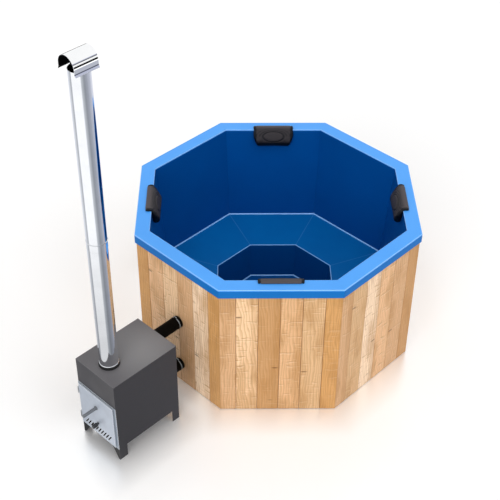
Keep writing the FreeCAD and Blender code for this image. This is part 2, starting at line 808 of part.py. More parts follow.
def make_firebox():
    """Firebox inside the water jacket, with its grate on ledges and the ash pan below."""
    low, high = "firebox_low - firebox_plate", "roof_top"
    out_left, out_right = "fire_left - firebox_plate", "fire_right + firebox_plate"
    plates = [
        block("fire_side_left", (out_left, "-fire_front", low), ("fire_left", "-fire_back", high)),
        block("fire_side_right", ("fire_right", "-fire_front", low), (out_right, "-fire_back", high)),
        block("fire_floor", ("fire_left", "-fire_front", low), ("fire_right", "-fire_back", "firebox_low")),
        block("fire_rear", (out_left, "-fire_back", low), (out_right, "-fire_back + firebox_plate", high)),
    ]
    roof = block("fire_roof_plate", ("fire_left", "-fire_front", "firebox_top"),
                 ("fire_right", "-fire_back", "roof_top"))
    flue = rod("fire_roof_hole", "collar_in", "firebox_plate + 2 * overrun",
               ("stove_shift", "-flue_y", "firebox_top - overrun"))
    plates.append(cut("fire_roof", roof, [flue]))
    for name, start, stop in (("left", "fire_left", "fire_left + ledge_wide"),
                              ("right", "fire_right - ledge_wide", "fire_right")):
        plates.append(block("ledge_" + name, (start, "-fire_front", "grate_high - firebox_plate"),
                            (stop, "-fire_back", "grate_high")))
    keep(group("firebox_walls", plates))

    deep = "fire_front - fire_back - 2 * grate_play"
    start = "-fire_front + grate_play"
    grate = padded("fire_grate", "XY_Plane",
                   [rectangle("fire_left + grate_play", start,
                              "fire_right - grate_play", f"{start} + {deep}")],
                   "grate_thick", "grate_high")
    slot = sketch_on(grate, "grate_slot_sketch", "XY_Plane",
                     [rectangle("fire_left + grate_edge", f"{start} + grate_edge",
                                "fire_right - grate_edge", f"{start} + grate_edge + grate_slot")],
                     "grate_high + grate_thick")
    opening = feature(grate, "Pocket", "grate_slot", slot, Length="grate_thick + overrun")
    in_row(grate, "grate_slots", opening, "Y_Axis", "grate_slot + grate_bar", GRATE_SLOTS)
    keep(grate)

    pan_low, pan_high = "firebox_low", "firebox_low + pan_tall"
    pan_left, pan_right = "fire_left + pan_play", "fire_right - pan_play"
    pan_front = "-fire_front + pan_pull_out"
    shell = block("ash_pan_block", (pan_left, pan_front, pan_low),
                  (pan_right, "-fire_back - pan_play", pan_high))
    hollow = block("ash_pan_hollow",
                   (f"{pan_left} + pan_sheet", f"{pan_front} + pan_sheet", f"{pan_low} + pan_sheet"),
                   (f"{pan_right} - pan_sheet", "-fire_back - pan_play - pan_sheet", f"{pan_high} + overrun"))
    tray = cut("ash_pan_tray", shell, [hollow])
    outer = rectangle("stove_shift - pan_pull_wide / 2", f"{pan_front} - pan_pull_out + pan_sheet",
                      "stove_shift + pan_pull_wide / 2", pan_front)
    inner = rectangle("stove_shift - pan_pull_wide / 2 + pan_pull_bar",
                      f"{pan_front} - pan_pull_out + pan_sheet + pan_pull_bar",
                      "stove_shift + pan_pull_wide / 2 - pan_pull_bar", f"{pan_front} + overrun")
    bow = padded("ash_pan_bow", "XY_Plane", [outer], "pan_pull_bar", "firebox_low + pan_tall / 2")
    gap = padded("ash_pan_gap", "XY_Plane", [inner], "pan_pull_bar + 2 * overrun",
                 "firebox_low + pan_tall / 2 - overrun")
    keep(joined("ash_pan", [tray, cut("ash_pan_pull", bow, [gap])]))


def make_chimney():
    """Flue collar, two stainless pipes and the barrel-vault cap on its straps."""
    collar = turned("flue_collar", [
        ("collar_in", "roof_top"), ("collar_out", "roof_top"), ("collar_out", "stove_high + collar_rise"),
        ("collar_in", "stove_high + collar_rise"), ("collar_in", "pipe_foot"),
        ("collar_in - seat_wide", "pipe_foot"), ("collar_in - seat_wide", "pipe_foot - seat_wide"),
        ("collar_in", "pipe_foot - 2 * seat_wide"),
    ])
    lower = turned("chimney_lower", [
        ("pipe_in", "pipe_foot"), ("pipe_out / 2", "pipe_foot"), ("pipe_out / 2", "bell_foot - pipe_wall"),
        ("bell_out", "bell_foot"), ("bell_out", "bell_top - bell_bead_tall"),
        ("bell_out + bell_bead", "bell_top - bell_bead_tall / 2"), ("bell_out", "bell_top"),
        ("bell_in", "bell_top"), ("bell_in", "bell_foot"), ("pipe_in", "bell_foot"),
    ])
    upper = turned("chimney_upper", [
        ("pipe_in", "bell_foot"), ("pipe_out / 2", "bell_foot"),
        ("pipe_out / 2", "pipe_top"), ("pipe_in", "pipe_top"),
    ])
    for piece in (collar, lower, upper):
        place(piece, x="stove_shift", y="-flue_y")
        keep(piece)

    near, far = "-flue_y - cap_long / 2", "-flue_y + cap_long / 2"

    def vault(name, half, drop, extra):
        """Upright-sided vault as one solid, longer by extra at each end."""
        start, stop = f"{near} - ({extra})", f"{far} + {extra}"
        foot = (f"stove_shift - ({half})", start, f"cap_centre - ({drop})")
        length = f"cap_long + 2 * ({extra})"
        arch = rod(name + "_arch", half, length, ("stove_shift", start, "cap_centre"), "y")
        sides = block(name + "_sides", foot, (f"stove_shift + {half}", stop, "cap_centre"))
        room = block(name + "_room", foot, (f"stove_shift + {half}", stop, f"cap_centre + {half} + overrun"))
        whole = joined(name + "_whole", [arch, sides])
        common = doc.addObject("Part::Common", name)
        common.Label = name
        common.Base = whole
        common.Tool = room
        return common

    sheet_shape = cut("cap_vault", vault("cap_outer", "cap_out / 2", "cap_side", "0"),
                      [vault("cap_inner", "cap_in", "cap_side + overrun", "overrun")])
    lips = []
    spread, hang = "cap_lip * cos(cap_lip_lean)", "cap_lip * sin(cap_lip_lean)"
    for name, sign in (("left", "-"), ("right", "")):
        foot = "cap_centre - cap_side"
        outline = [
            (f"stove_shift + {sign}(cap_in)", foot), (f"stove_shift + {sign}(cap_out / 2)", foot),
            (f"stove_shift + {sign}(cap_out / 2 + {spread})", f"{foot} - {hang}"),
            (f"stove_shift + {sign}(cap_in + {spread})", f"{foot} - {hang}"),
        ]
        lips.append(padded("cap_lip_" + name, "XZ_Plane", [outline], "cap_long", "flue_y - cap_long / 2"))
    keep(joined("chimney_cap", [sheet_shape] + lips))

    outside = "sqrt(pipe_in * pipe_in - strap_wide * strap_wide / 4) - strap_play"
    head = f"cap_centre + sqrt(cap_in * cap_in - ({outside}) * ({outside})) - strap_play"
    straps = []
    for name, sign in (("left", "-"), ("right", "")):
        outline = [
            (f"stove_shift + {sign}({outside})", "pipe_top - strap_down"),
            (f"stove_shift + {sign}({outside})", head),
            (f"stove_shift + {sign}({outside} - strap_thick)", head),
            (f"stove_shift + {sign}({outside} - strap_thick)", "pipe_top - strap_down"),
        ]
        straps.append(padded("cap_strap_" + name, "XZ_Plane", [outline],
                             "strap_wide", "flue_y - strap_wide / 2"))
    keep(group("cap_straps", straps))


def make_door():
    """Frame plate, folded door with slanted air slots, seal, hinges and handle."""
    frame = block("door_frame_plate", ("stove_left", "-frame_face", "door_frame_low"),
                  ("stove_right", "-stove_front", "door_frame_top"))
    window = block("door_frame_window", ("fire_left", "-frame_face - overrun", "firebox_low"),
                   ("fire_right", "-stove_front + overrun", "window_top"))
    keep(cut("door_frame", frame, [window]))

    door = padded("stove_door", "XZ_Plane", [rectangle("door_left", "door_low", "door_right", "door_top")],
                  "door_face - door_back", "door_back")
    tray = sketch_on(door, "door_tray_sketch", "XZ_Plane",
                     [rectangle("door_left + door_sheet", "door_low + door_sheet",
                                "door_right - door_sheet", "door_top - door_sheet")], "door_back")
    feature(door, "Pocket", "door_tray", tray, Length="sheet_back - door_back").Reversed = True
    knob_gap = sketch_on(
        door, "knob_gap_sketch", "XZ_Plane",
        [rectangle("stove_shift + knob_shift - slide_travel - knob_shank / 2 - knob_play",
                   "knob_high - knob_shank / 2 - knob_play",
                   "stove_shift + knob_shift + knob_shank / 2 + knob_play",
                   "knob_high + knob_shank / 2 + knob_play")], "sheet_back")
    feature(door, "Pocket", "knob_gap", knob_gap, Length="door_sheet + overrun").Reversed = True
    slot = sketch_on(door, "door_slot_sketch", "XZ_Plane", [air_slot()], "sheet_back")
    opening = feature(door, "Pocket", "door_slot", slot, Length="door_sheet + overrun")
    opening.Reversed = True
    in_row(door, "door_slots", opening, "X_Axis", "slot_pitch", AIR_SLOTS)
    keep(door)

    edge = "(door_sheet + seal_play)"
    inset = "seal_inset"
    outer = block("door_seal_outer", (f"door_left + {edge}", "-sheet_back", f"door_low + {edge}"),
                  (f"door_right - {edge}", "-frame_face - seal_play", f"door_top - {edge}"))
    inner = block("door_seal_inner", (f"door_left + {inset}", "-sheet_back - overrun", f"door_low + {inset}"),
                  (f"door_right - {inset}", "-frame_face + overrun", f"door_top - {inset}"))
    keep(cut("door_seal", outer, [inner]))
    make_hinges()

    handle = turned("door_handle", [
        ("0", "0"), ("handle_foot / 2", "0"), ("handle_foot / 2", "handle_foot_thick"),
        ("handle_across / 2", "handle_foot_thick"), ("handle_across / 2", "handle_long - handle_round"),
        ("handle_across / 2 - handle_round", "handle_long"), ("0", "handle_long"),
    ])
    keep(place(handle, "stove_shift", "-door_face", "handle_high", (1, 0, 0), "90"))


def air_slot():
    """Corners of the first slanted slot of the row."""
    half = (AIR_SLOTS - 1) / 2
    middle = f"stove_shift - slot_pitch * {half}"
    low, high = f"{middle} - slot_slant / 2", f"{middle} + slot_slant / 2"
    top = "slot_low + slot_tall"
    return [
        (f"{low} - slot_wide / 2", "slot_low"), (f"{low} + slot_wide / 2", "slot_low"),
        (f"{high} + slot_wide / 2", top), (f"{high} - slot_wide / 2", top),
    ]


def make_hinges():
    """Two lift-off hinges on the door's left edge: frame knuckle below, door knuckle above, pin between."""
    frame_knuckles, door_knuckles, pins = [], [], []
    radius, bore = "knuckle_out / 2", "hinge_pin / 2 + pin_fit"
    stack = "2 * knuckle_tall + knuckle_play"
    for name, low in (("low", "door_low + hinge_rise"), ("high", f"door_top - hinge_rise - ({stack})")):
        split = f"{low} + knuckle_tall"
        upper = f"{split} + knuckle_play"
        post = joined(f"frame_knuckle_{name}_post", [
            rod(f"frame_barrel_{name}", radius, "knuckle_tall", ("hinge_x", "-hinge_y", low)),
            block(f"frame_leaf_{name}", (f"hinge_x - {radius}", "-hinge_y", low),
                  (f"hinge_x + {radius}", "-frame_face", split)),
        ])
        frame_bore = rod(f"frame_bore_{name}", bore, "knuckle_tall + 2 * overrun",
                         ("hinge_x", "-hinge_y", f"{low} - overrun"))
        frame_knuckles.append(cut(f"frame_knuckle_{name}", post, [frame_bore]))
        wing = joined(f"door_knuckle_{name}_wing", [
            rod(f"door_barrel_{name}", radius, "knuckle_tall", ("hinge_x", "-hinge_y", upper)),
            block(f"door_leaf_{name}", ("hinge_x", f"-hinge_y - {radius}", upper),
                  ("door_left", "-hinge_y", f"{upper} + knuckle_tall")),
        ])
        door_bore = rod(f"door_bore_{name}", bore, "knuckle_tall + 2 * overrun",
                        ("hinge_x", "-hinge_y", f"{upper} - overrun"))
        door_knuckles.append(cut(f"door_knuckle_{name}", wing, [door_bore]))
        pins.append(rod(f"hinge_pin_{name}", "hinge_pin / 2", stack, ("hinge_x", "-hinge_y", low)))
    keep(group("hinge_frame_knuckles", frame_knuckles))
    keep(group("hinge_door_knuckles", door_knuckles))
    keep(group("hinge_pins", pins))


def make_air_slide():
    """Slotted slide behind the door, its two guides and the knob that moves it."""
    face = "sheet_back - slide_play"
    span = f"slot_pitch * {(AIR_SLOTS - 1) / 2} + slot_slant / 2 + slot_wide / 2 + slide_over"
    slide = padded("air_slide", "XZ_Plane",
                   [rectangle(f"stove_shift - ({span}) + slide_travel", "slide_low",
                              f"stove_shift + {span} + slide_travel", "slide_top")],
                   "slide_thick", f"{face} - slide_thick")
    slot = sketch_on(slide, "slide_slot_sketch", "XZ_Plane", [air_slot()], f"{face} - slide_thick")
    opening = feature(slide, "Pocket", "slide_slot", slot, Length="slide_thick + overrun")
    opening.Reversed = True
    in_row(slide, "slide_slots", opening, "X_Axis", "slot_pitch", AIR_SLOTS)
    hole = rod("slide_knob_hole", "knob_shank / 2 + pin_fit", "slide_thick + 2 * overrun",
               ("stove_shift + knob_shift", f"-({face}) - overrun", "knob_high"), "y")
    slide.Label = "air_slide_plate"
    keep(cut("air_slide", slide, [hole]))

    lip_face = f"{face} - slide_thick - slide_play"
    guides = []
    for name, edge, sign in (("low", "slide_low - slide_play", "-"), ("high", "slide_top + slide_play", "+")):
        back = "-sheet_back"
        deep = f"-({lip_face})"
        behind = f"-({lip_face}) + guide_lip"
        inward = "+" if sign == "-" else "-"
        outline = [
            (back, f"{edge} {sign} guide_wide"), (back, edge), (deep, edge),
            (deep, f"{edge} {inward} slide_edge"), (behind, f"{edge} {inward} slide_edge"),
            (behind, f"{edge} {sign} guide_wide"),
        ]
        guides.append(padded("guide_" + name, "YZ_Plane", [outline],
                             f"2 * ({span})", f"stove_shift - ({span})"))
    keep(group("slide_guides", guides))

    sunk = "door_sheet + slide_play + slide_thick"
    knob = turned("air_knob", [
        ("0", f"-({sunk})"), ("knob_shank / 2", f"-({sunk})"), ("knob_shank / 2", "slide_play"),
        ("knob_neck / 2", "slide_play"), ("knob_neck / 2", "knob_neck_long"),
        ("knob_out / 2", "knob_neck_long"), ("knob_out / 2", "knob_long - handle_round"),
        ("knob_out / 2 - handle_round", "knob_long"),
        ("0", "knob_long"),
    ])
    keep(place(knob, "stove_shift + knob_shift", "-door_face", "knob_high", (1, 0, 0), "90"))


def make_water_line():
    """Two hoses with clamps, the stubs on the stove and the fittings through the tub."""
    clamps, stubs = [], []
    for name, height in (("upper", "hose_upper"), ("lower", "hose_lower")):
        start, long = "-hose_start", "hose_start - hose_stop"
        tube = rod(name + "_hose_rod", "hose_out / 2", long, ("0", start, height), "y")
        bore = rod(name + "_hose_bore", "hose_in", f"{long} + 2 * overrun",
                   ("0", f"{start} - overrun", height), "y")
        keep(cut(name + "_hose", tube, [bore]))
        for end, middle in (("stove", "-hose_start + clamp_in"), ("tub", "-hose_stop - clamp_in")):
            clamps.append(make_clamp(f"{name}_{end}", middle, height))
        stub = rod(name + "_stub_rod", "port_out", "casing_wall + port_inside + port_reach",
                   ("0", "-stove_back - casing_wall - port_inside", height), "y")
        hollow = rod(name + "_stub_bore", "port_out - port_wall", "stove_deep",
                     ("0", "-stove_back - stove_deep / 2", height), "y")
        stubs.append(cut(name + "_stub", stub, [hollow]))
    keep(group("hose_clamps", clamps))
    keep(group("stove_ports", stubs))

    grilles, nuts = [], []
    for name, height, wall, share in (("upper", "hose_upper", "upper_wall", "lean_share"),
                                      ("lower", "hose_lower", "lower_wall", "well_share")):
        lean = f"90 deg + atan({share})"
        reach = f"clad_half + port_reach - ({wall})"
        tube = rod(f"tub_port_{name}_tube", "port_out", reach, ("0", "-clad_half - port_reach", height), "y")
        flange = add("Part::Cylinder", f"tub_port_{name}_flange",
                     Radius="flange_out / 2", Height="flange_thick")
        inward = f"flange_thick * cos(atan({share}))"
        upward = f"flange_thick * sin(atan({share}))"
        tilt(place(flange, "0", f"-({wall}) + {inward}", f"{height} + {upward}", (1, 0, 0), "90"), lean)
        hollow = rod(f"tub_port_{name}_bore", "port_out - port_wall", f"{reach} + 2 * overrun",
                     ("0", "-clad_half - port_reach - overrun", height), "y")
        keep(cut(f"tub_port_{name}", joined(f"tub_port_{name}_whole", [tube, flange]), [hollow]))
        grilles.append(make_grille(name, height, wall, share))

        behind = f"-({wall}) - liner_wall / cos(atan({share})) - ({share}) * nut_out / 2 - port_play"
        ring = rod(f"port_nut_{name}_ring", "nut_out / 2", "nut_thick",
                   ("0", f"{behind} - nut_thick", height), "y")
        eye = rod(f"port_nut_{name}_eye", "port_out + port_play", "nut_thick + 2 * overrun",
                  ("0", f"{behind} - nut_thick - overrun", height), "y")
        nuts.append(cut(f"port_nut_{name}", ring, [eye]))
    keep(group("port_grilles", grilles))
    keep(group("port_nuts", nuts))


def make_clamp(name, middle, height):
    """Band round a hose with the housing of its tightening screw on top."""
    inside = "hose_out / 2 + clamp_play"
    start = f"{middle} - clamp_wide / 2"
    band = rod(f"clamp_{name}_band", f"{inside} + clamp_band", "clamp_wide", ("0", start, height), "y")
    housing = block(f"clamp_{name}_housing", ("-clamp_box_wide / 2", start, height),
                    ("clamp_box_wide / 2", f"{start} + clamp_wide", f"{height} + {inside} + clamp_box_tall"))
    eye = rod(f"clamp_{name}_eye", inside, "clamp_wide + 2 * overrun",
              ("0", f"{start} - overrun", height), "y")
    return cut(f"clamp_{name}", joined(f"clamp_{name}_whole", [band, housing]), [eye])


def make_grille(name, height, wall, share):
    """Domed cover over the inner mouth of a fitting, with a ring of holes."""
    body = turned(f"grille_{name}", [
        ("grille_out / 2 - grille_wall", "0"), ("grille_out / 2", "0"), ("grille_out / 2", "grille_rise / 2"),
        ("grille_out / 2 - grille_rise / 2", "grille_rise"), ("0", "grille_rise"),
        ("0", "grille_rise - grille_wall"), ("grille_out / 2 - grille_rise / 2 - grille_wall / 2",
                                             "grille_rise - grille_wall"),
        ("grille_out / 2 - grille_wall", "grille_rise / 2"),
    ])
    side = "grille_hole / 2"
    hole = sketch_on(body, f"grille_{name}_hole_sketch", "XY_Plane",
                     [rectangle(f"grille_ring - {side}", f"-({side})", f"grille_ring + {side}", side)],
                     "grille_rise + overrun")
    opening = feature(body, "Pocket", f"grille_{name}_hole", hole, Length="grille_wall + 2 * overrun")
    around(body, f"grille_{name}_holes", opening, GRILLE_HOLES)
    inward = f"flange_thick * cos(atan({share}))"
    upward = f"flange_thick * sin(atan({share}))"
    place(body, "0", f"-({wall}) + {inward}", f"{height} + {upward}", (1, 0, 0), "-90")
    return tilt(body, f"-90 deg + atan({share})")


def make_drain():
    """Floor drain, the pipe under the floor and the quarter-turn valve behind the tub."""
    at = ("drain_side", "drain_y")
    drain = turned("floor_drain", [
        ("0", "floor_top"), ("drain_neck / 2 - drain_pipe_wall", "floor_top"),
        ("drain_neck / 2 - drain_pipe_wall", "floor_top - drain_down"),
        ("drain_neck / 2", "floor_top - drain_down"), ("drain_neck / 2", "floor_top"),
        ("drain_out / 2", "floor_top"), ("drain_out / 2 - drain_thick", "floor_top + drain_thick"),
        ("0", "floor_top + drain_thick"),
    ])
    drain.Label = "floor_drain_plate"
    place(drain, *at)
    holes = [rod("drain_hole_middle", "drain_hole / 2", "drain_thick + 2 * overrun",
                 at + ("floor_top - overrun",))]
    for number in range(GRILLE_HOLES):
        turn = f"({number} * 360 / {GRILLE_HOLES})"
        holes.append(rod(f"drain_hole_{number}", "drain_hole / 2", "drain_thick + overrun",
                         (f"drain_side + drain_ring / 2 * cos{turn}", f"drain_y + drain_ring / 2 * sin{turn}",
                          "floor_top - overrun / 2")))
    keep(cut("floor_drain", drain, holes))

    start = "drain_y - drain_socket / 2 - drain_pipe_wall"
    run = f"valve_start - ({start})"
    outer = rod("drain_pipe_run", "drain_pipe_out / 2", run, ("drain_side", start, "drain_pipe_high"), "y")
    socket = rod("drain_pipe_socket", "drain_socket / 2", "joist_high - drain_pipe_high",
                 at + ("drain_pipe_high",))
    inner = rod("drain_pipe_bore", "drain_bore", run, ("drain_side", f"{start} + drain_pipe_wall",
                                                       "drain_pipe_high"), "y")
    mouth = rod("drain_pipe_mouth", "drain_neck / 2 + drain_fit", "joist_high", at + ("drain_pipe_high",))
    keep(cut("drain_pipe", joined("drain_pipe_whole", [outer, socket]), [inner, mouth]))

    body = turned("drain_valve_body", [
        ("0", "0"), ("valve_out / 2", "0"), ("valve_out / 2", "valve_nut_long"),
        ("valve_body_out / 2", "valve_nut_long"), ("valve_body_out / 2", "valve_nut_long + valve_body_long"),
        ("valve_tail_out / 2", "valve_nut_long + valve_body_long"),
        ("valve_tail_out / 2", "valve_nut_long + valve_body_long + valve_tail_long"),
        ("0", "valve_nut_long + valve_body_long + valve_tail_long"),
    ])
    place(body, "drain_side", "valve_start", "drain_pipe_high", (1, 0, 0), "-90")
    boss = rod("valve_boss", "valve_boss_out / 2", "valve_boss_top - drain_pipe_high",
               ("drain_side", "valve_mid", "drain_pipe_high"))
    tail = rod("valve_tail_bore", "valve_bore / 2", "valve_tail_long + overrun",
               ("drain_side", "valve_start + valve_nut_long + valve_body_long", "drain_pipe_high"), "y")
    seat = rod("valve_stem_bore", "valve_stem / 2 + pin_fit", "valve_stem_in + lever_play + overrun",
               ("drain_side", "valve_mid", "valve_boss_top - valve_stem_in - lever_play"))
    keep(cut("drain_valve", joined("drain_valve_whole", [body, boss]), [tail, seat]))

    root, tip = "lever_wide / 2", "lever_tip / 2"
    blade = padded("valve_blade", "XY_Plane", [[
        (f"-({root})", f"-({root})"), (root, f"-({root})"), ("lever_long", f"-({tip})"),
        ("lever_long", tip), (root, root), (f"-({root})", root),
    ]], "lever_thick")
    place(blade, "drain_side", "valve_mid", "valve_boss_top + lever_play")
    stem = rod("valve_stem", "valve_stem / 2", "valve_stem_in + lever_play + lever_thick",
               ("drain_side", "valve_mid", "valve_boss_top - valve_stem_in"))
    keep(joined("valve_lever", [blade, stem]))


def check_and_write():
    """Stop on any failed object or bad solid, then write each sub-part's file."""
    doc.recompute()
    failed = [item.Label for item in doc.Objects if "Invalid" in item.State or "Error" in item.State]
    if failed:
        raise RuntimeError("failed to build: " + ", ".join(failed))
    for piece in PIECES:
        if piece.Shape.isNull() or not piece.Shape.isValid() or not piece.Shape.Solids:
            raise RuntimeError(f"{piece.Label} has no sound solid")
    os.makedirs("parts", exist_ok=True)
    for piece in PIECES:
        piece.Shape.exportStep(f"parts/{piece.Label}.step")
        print(piece.Label, len(piece.Shape.Solids), round(piece.Shape.Volume))


make_rim()
make_liner()
make_welds()
make_ribs()
make_cladding()
make_frame()
make_pillows()
make_casing()
make_firebox()
make_chimney()
make_door()
make_air_slide()
make_water_line()
make_drain()
check_and_write()
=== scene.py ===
"""Wood-burning hot tub: its finishes, soft pieces and stage, built round the packed CAD frame."""
import math
from functools import partial

import bpy
import numpy as np
from mathutils import Matrix, Vector


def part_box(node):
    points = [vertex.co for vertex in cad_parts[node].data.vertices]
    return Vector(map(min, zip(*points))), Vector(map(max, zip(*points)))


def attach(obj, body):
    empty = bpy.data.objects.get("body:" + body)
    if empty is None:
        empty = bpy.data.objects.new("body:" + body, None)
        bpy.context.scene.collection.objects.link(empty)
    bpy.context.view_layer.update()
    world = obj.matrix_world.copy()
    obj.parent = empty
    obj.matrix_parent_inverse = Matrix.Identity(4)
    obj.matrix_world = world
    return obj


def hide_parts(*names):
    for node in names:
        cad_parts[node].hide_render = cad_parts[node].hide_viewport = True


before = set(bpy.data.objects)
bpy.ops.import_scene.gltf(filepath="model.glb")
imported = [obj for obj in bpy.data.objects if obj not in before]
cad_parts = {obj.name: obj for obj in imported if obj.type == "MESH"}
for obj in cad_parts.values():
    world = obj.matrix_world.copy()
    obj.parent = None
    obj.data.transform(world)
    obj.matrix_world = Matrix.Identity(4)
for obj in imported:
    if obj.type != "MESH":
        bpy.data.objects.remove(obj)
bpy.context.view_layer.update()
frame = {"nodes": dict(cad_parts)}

bl_info = {
    "name": "Wood-burning hot tub",
    "version": (1, 0, 0),
    "blender": (4, 5, 0),
    "location": "3D View > Sidebar > Hot tub",
    "description": "Finishes, pillows, seals and fixings of a timber-clad hot tub with an outside stove",
    "category": "Object",
}

MM = 0.001
WHITE = (1.0, 1.0, 1.0, 1.0)

FACES = ("front", "front_right", "right", "back_right", "back", "back_left", "left", "front_left")
PILLOW_FACES = ("front_right", "back_right", "back_left", "front_left")
FACE_TURN = 2 * math.pi / len(FACES)

RIM_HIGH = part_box("rim_top")[1].z
LINER_LOW, LINER_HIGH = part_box("liner_walls")
PIPE_LOW, PIPE_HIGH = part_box("chimney_lower")
PIPE_MIDDLE = (PIPE_LOW + PIPE_HIGH) / 2
UPPER_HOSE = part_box("upper_hose")
LOWER_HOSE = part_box("lower_hose")
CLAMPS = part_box("hose_clamps")
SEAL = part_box("door_seal")
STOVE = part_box("stove_top")
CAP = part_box("chimney_cap")
COLLAR_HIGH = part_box("flue_collar")[1].z

# Tones of the boards of each face, from its left end to its right end. On the front face the apricot, pale and cream
# boards are painted light against the stove's shade there.
BOARD_TONES = {
    "front": ("amber", "apricot", "pale", "tan", "cream", "amber"),
    "front_right": ("tan", "pale", "honey", "peach", "straw", "amber"),
    "right": ("tan", "straw", "cream", "apricot", "tan", "honey"),
    "back_right": ("honey", "peach", "straw", "pale", "tan", "peach"),
    "back": ("amber", "pale", "tan", "peach", "straw", "honey"),
    "back_left": ("peach", "honey", "pale", "straw", "tan", "amber"),
    "left": ("straw", "peach", "tan", "pale", "honey", "tan"),
    "front_left": ("amber", "straw", "peach", "tan", "pale", "honey"),
}


def linear(code):
    """Linear RGBA of an sRGB hex value: each channel c is c/12.92 when dark, else ((c+0.055)/1.055)^2.4."""
    channels = [int(code[i:i + 2], 16) / 255 for i in (1, 3, 5)]
    return tuple(c / 12.92 if c <= 0.04045 else ((c + 0.055) / 1.055) ** 2.4 for c in channels) + (1.0,)


def colour(name, description, code):
    """Colour property from an sRGB hex value."""
    return bpy.props.FloatVectorProperty(
        name=name, description=description, default=linear(code), size=4, min=0, max=1, subtype="COLOR")


def length(name, description, millimetres):
    """Length property from millimetres."""
    return bpy.props.FloatProperty(
        name=name, description=description, default=millimetres * MM, unit="LENGTH", precision=4)


def tilt(name, description, degrees):
    """Angle property from degrees."""
    return bpy.props.FloatProperty(name=name, description=description, default=math.radians(degrees), subtype="ANGLE")


def amount(name, description, value):
    """Plain property that is never below zero."""
    return bpy.props.FloatProperty(name=name, description=description, default=value, min=0)


class TubColours(bpy.types.PropertyGroup):
    """Colours of the tub and its fittings."""
    # Rim, apron, wall, bench and footwell are one blue polypropylene: the rim is painted lighter as painted light, and
    # the apron, walls and footwell darker as painted shade.
    rim: colour("Rim", "Flat top of the rim", "#50A8FC")
    rim_shade: colour("Rim shade", "Faint mottling of the rim", "#469EF5")
    # Painted highlight along the rim's rounded upper edges; the weld beads take the same colour for their ripple.
    rim_highlight_and_weld_ripple: colour("Rim edge", "Routed edges of the rim", "#9CCBFF")
    apron: colour("Apron", "Hanging edge of the rim", "#1272C3")
    apron_shade: colour("Apron shade", "Faint mottling of the apron", "#0E6AB8")
    wall: colour("Wall", "Walls of the liner", "#004E9A")
    wall_shade: colour("Wall shade", "Faint mottling of the walls", "#00468E")
    bench: colour("Bench", "Top of the bench", "#0068B0")
    bench_shade: colour("Bench shade", "Faint mottling of the bench", "#005CA2")
    footwell: colour("Footwell", "Walls and floor of the footwell", "#004A8A")
    weld: colour("Weld", "Weld beads of the liner", "#7FBDFA")
    # The crest colour is painted light where the pillow lies on the rim; the end colour also gives painted shade on the
    # face, creases and underside.
    pillow: colour("Pillow", "Rubbed skin on the crest of the pillows", "#494346")
    pillow_end: colour("Pillow end", "Ends and creases of the pillows", "#040810")
    fitting: colour("Fitting", "Moulded covers and drain", "#C9CED2")
    fitting_shade: colour("Fitting shade", "Lime and dirt on the fittings", "#B3B8BA")
    brass: colour("Brass", "Drain valve", "#C9A45A")
    lever: colour("Lever", "Dipped sleeve of the valve lever", "#A3221B")
    lever_shade: colour("Lever shade", "Handled part of the sleeve", "#8A1A15")


class WoodColours(bpy.types.PropertyGroup):
    """Tones of the timber."""
    # Cream and apricot serve partly as painted light, lifting front-face boards that lie in the stove's shade.
    cream: colour("Cream", "Palest sapwood boards", "#FFE2C2")
    pale: colour("Pale", "Pale sapwood boards", "#F6CFA4")
    apricot: colour("Apricot", "Warm pale boards", "#EEC093")
    peach: colour("Peach", "Peach boards", "#E3B587")
    straw: colour("Straw", "Straw boards with open grain", "#DDB588")
    tan: colour("Tan", "Tan boards", "#DBAF84")
    honey: colour("Honey", "Honey boards", "#CB9B69")
    amber: colour("Amber", "Resin-rich boards", "#D5A064")
    late: colour("Late wood", "Dark line of each year ring", "#B27F45")
    # Painted highlight on the lower flank of each cross dent.
    dent_highlight: colour("Gleam", "Pale flank of a dent or curl", "#FFE9CC")
    knot: colour("Knot", "Knots and resin streaks", "#6E4420")
    frame: colour("Frame", "Sawn framing timber", "#C8A270")


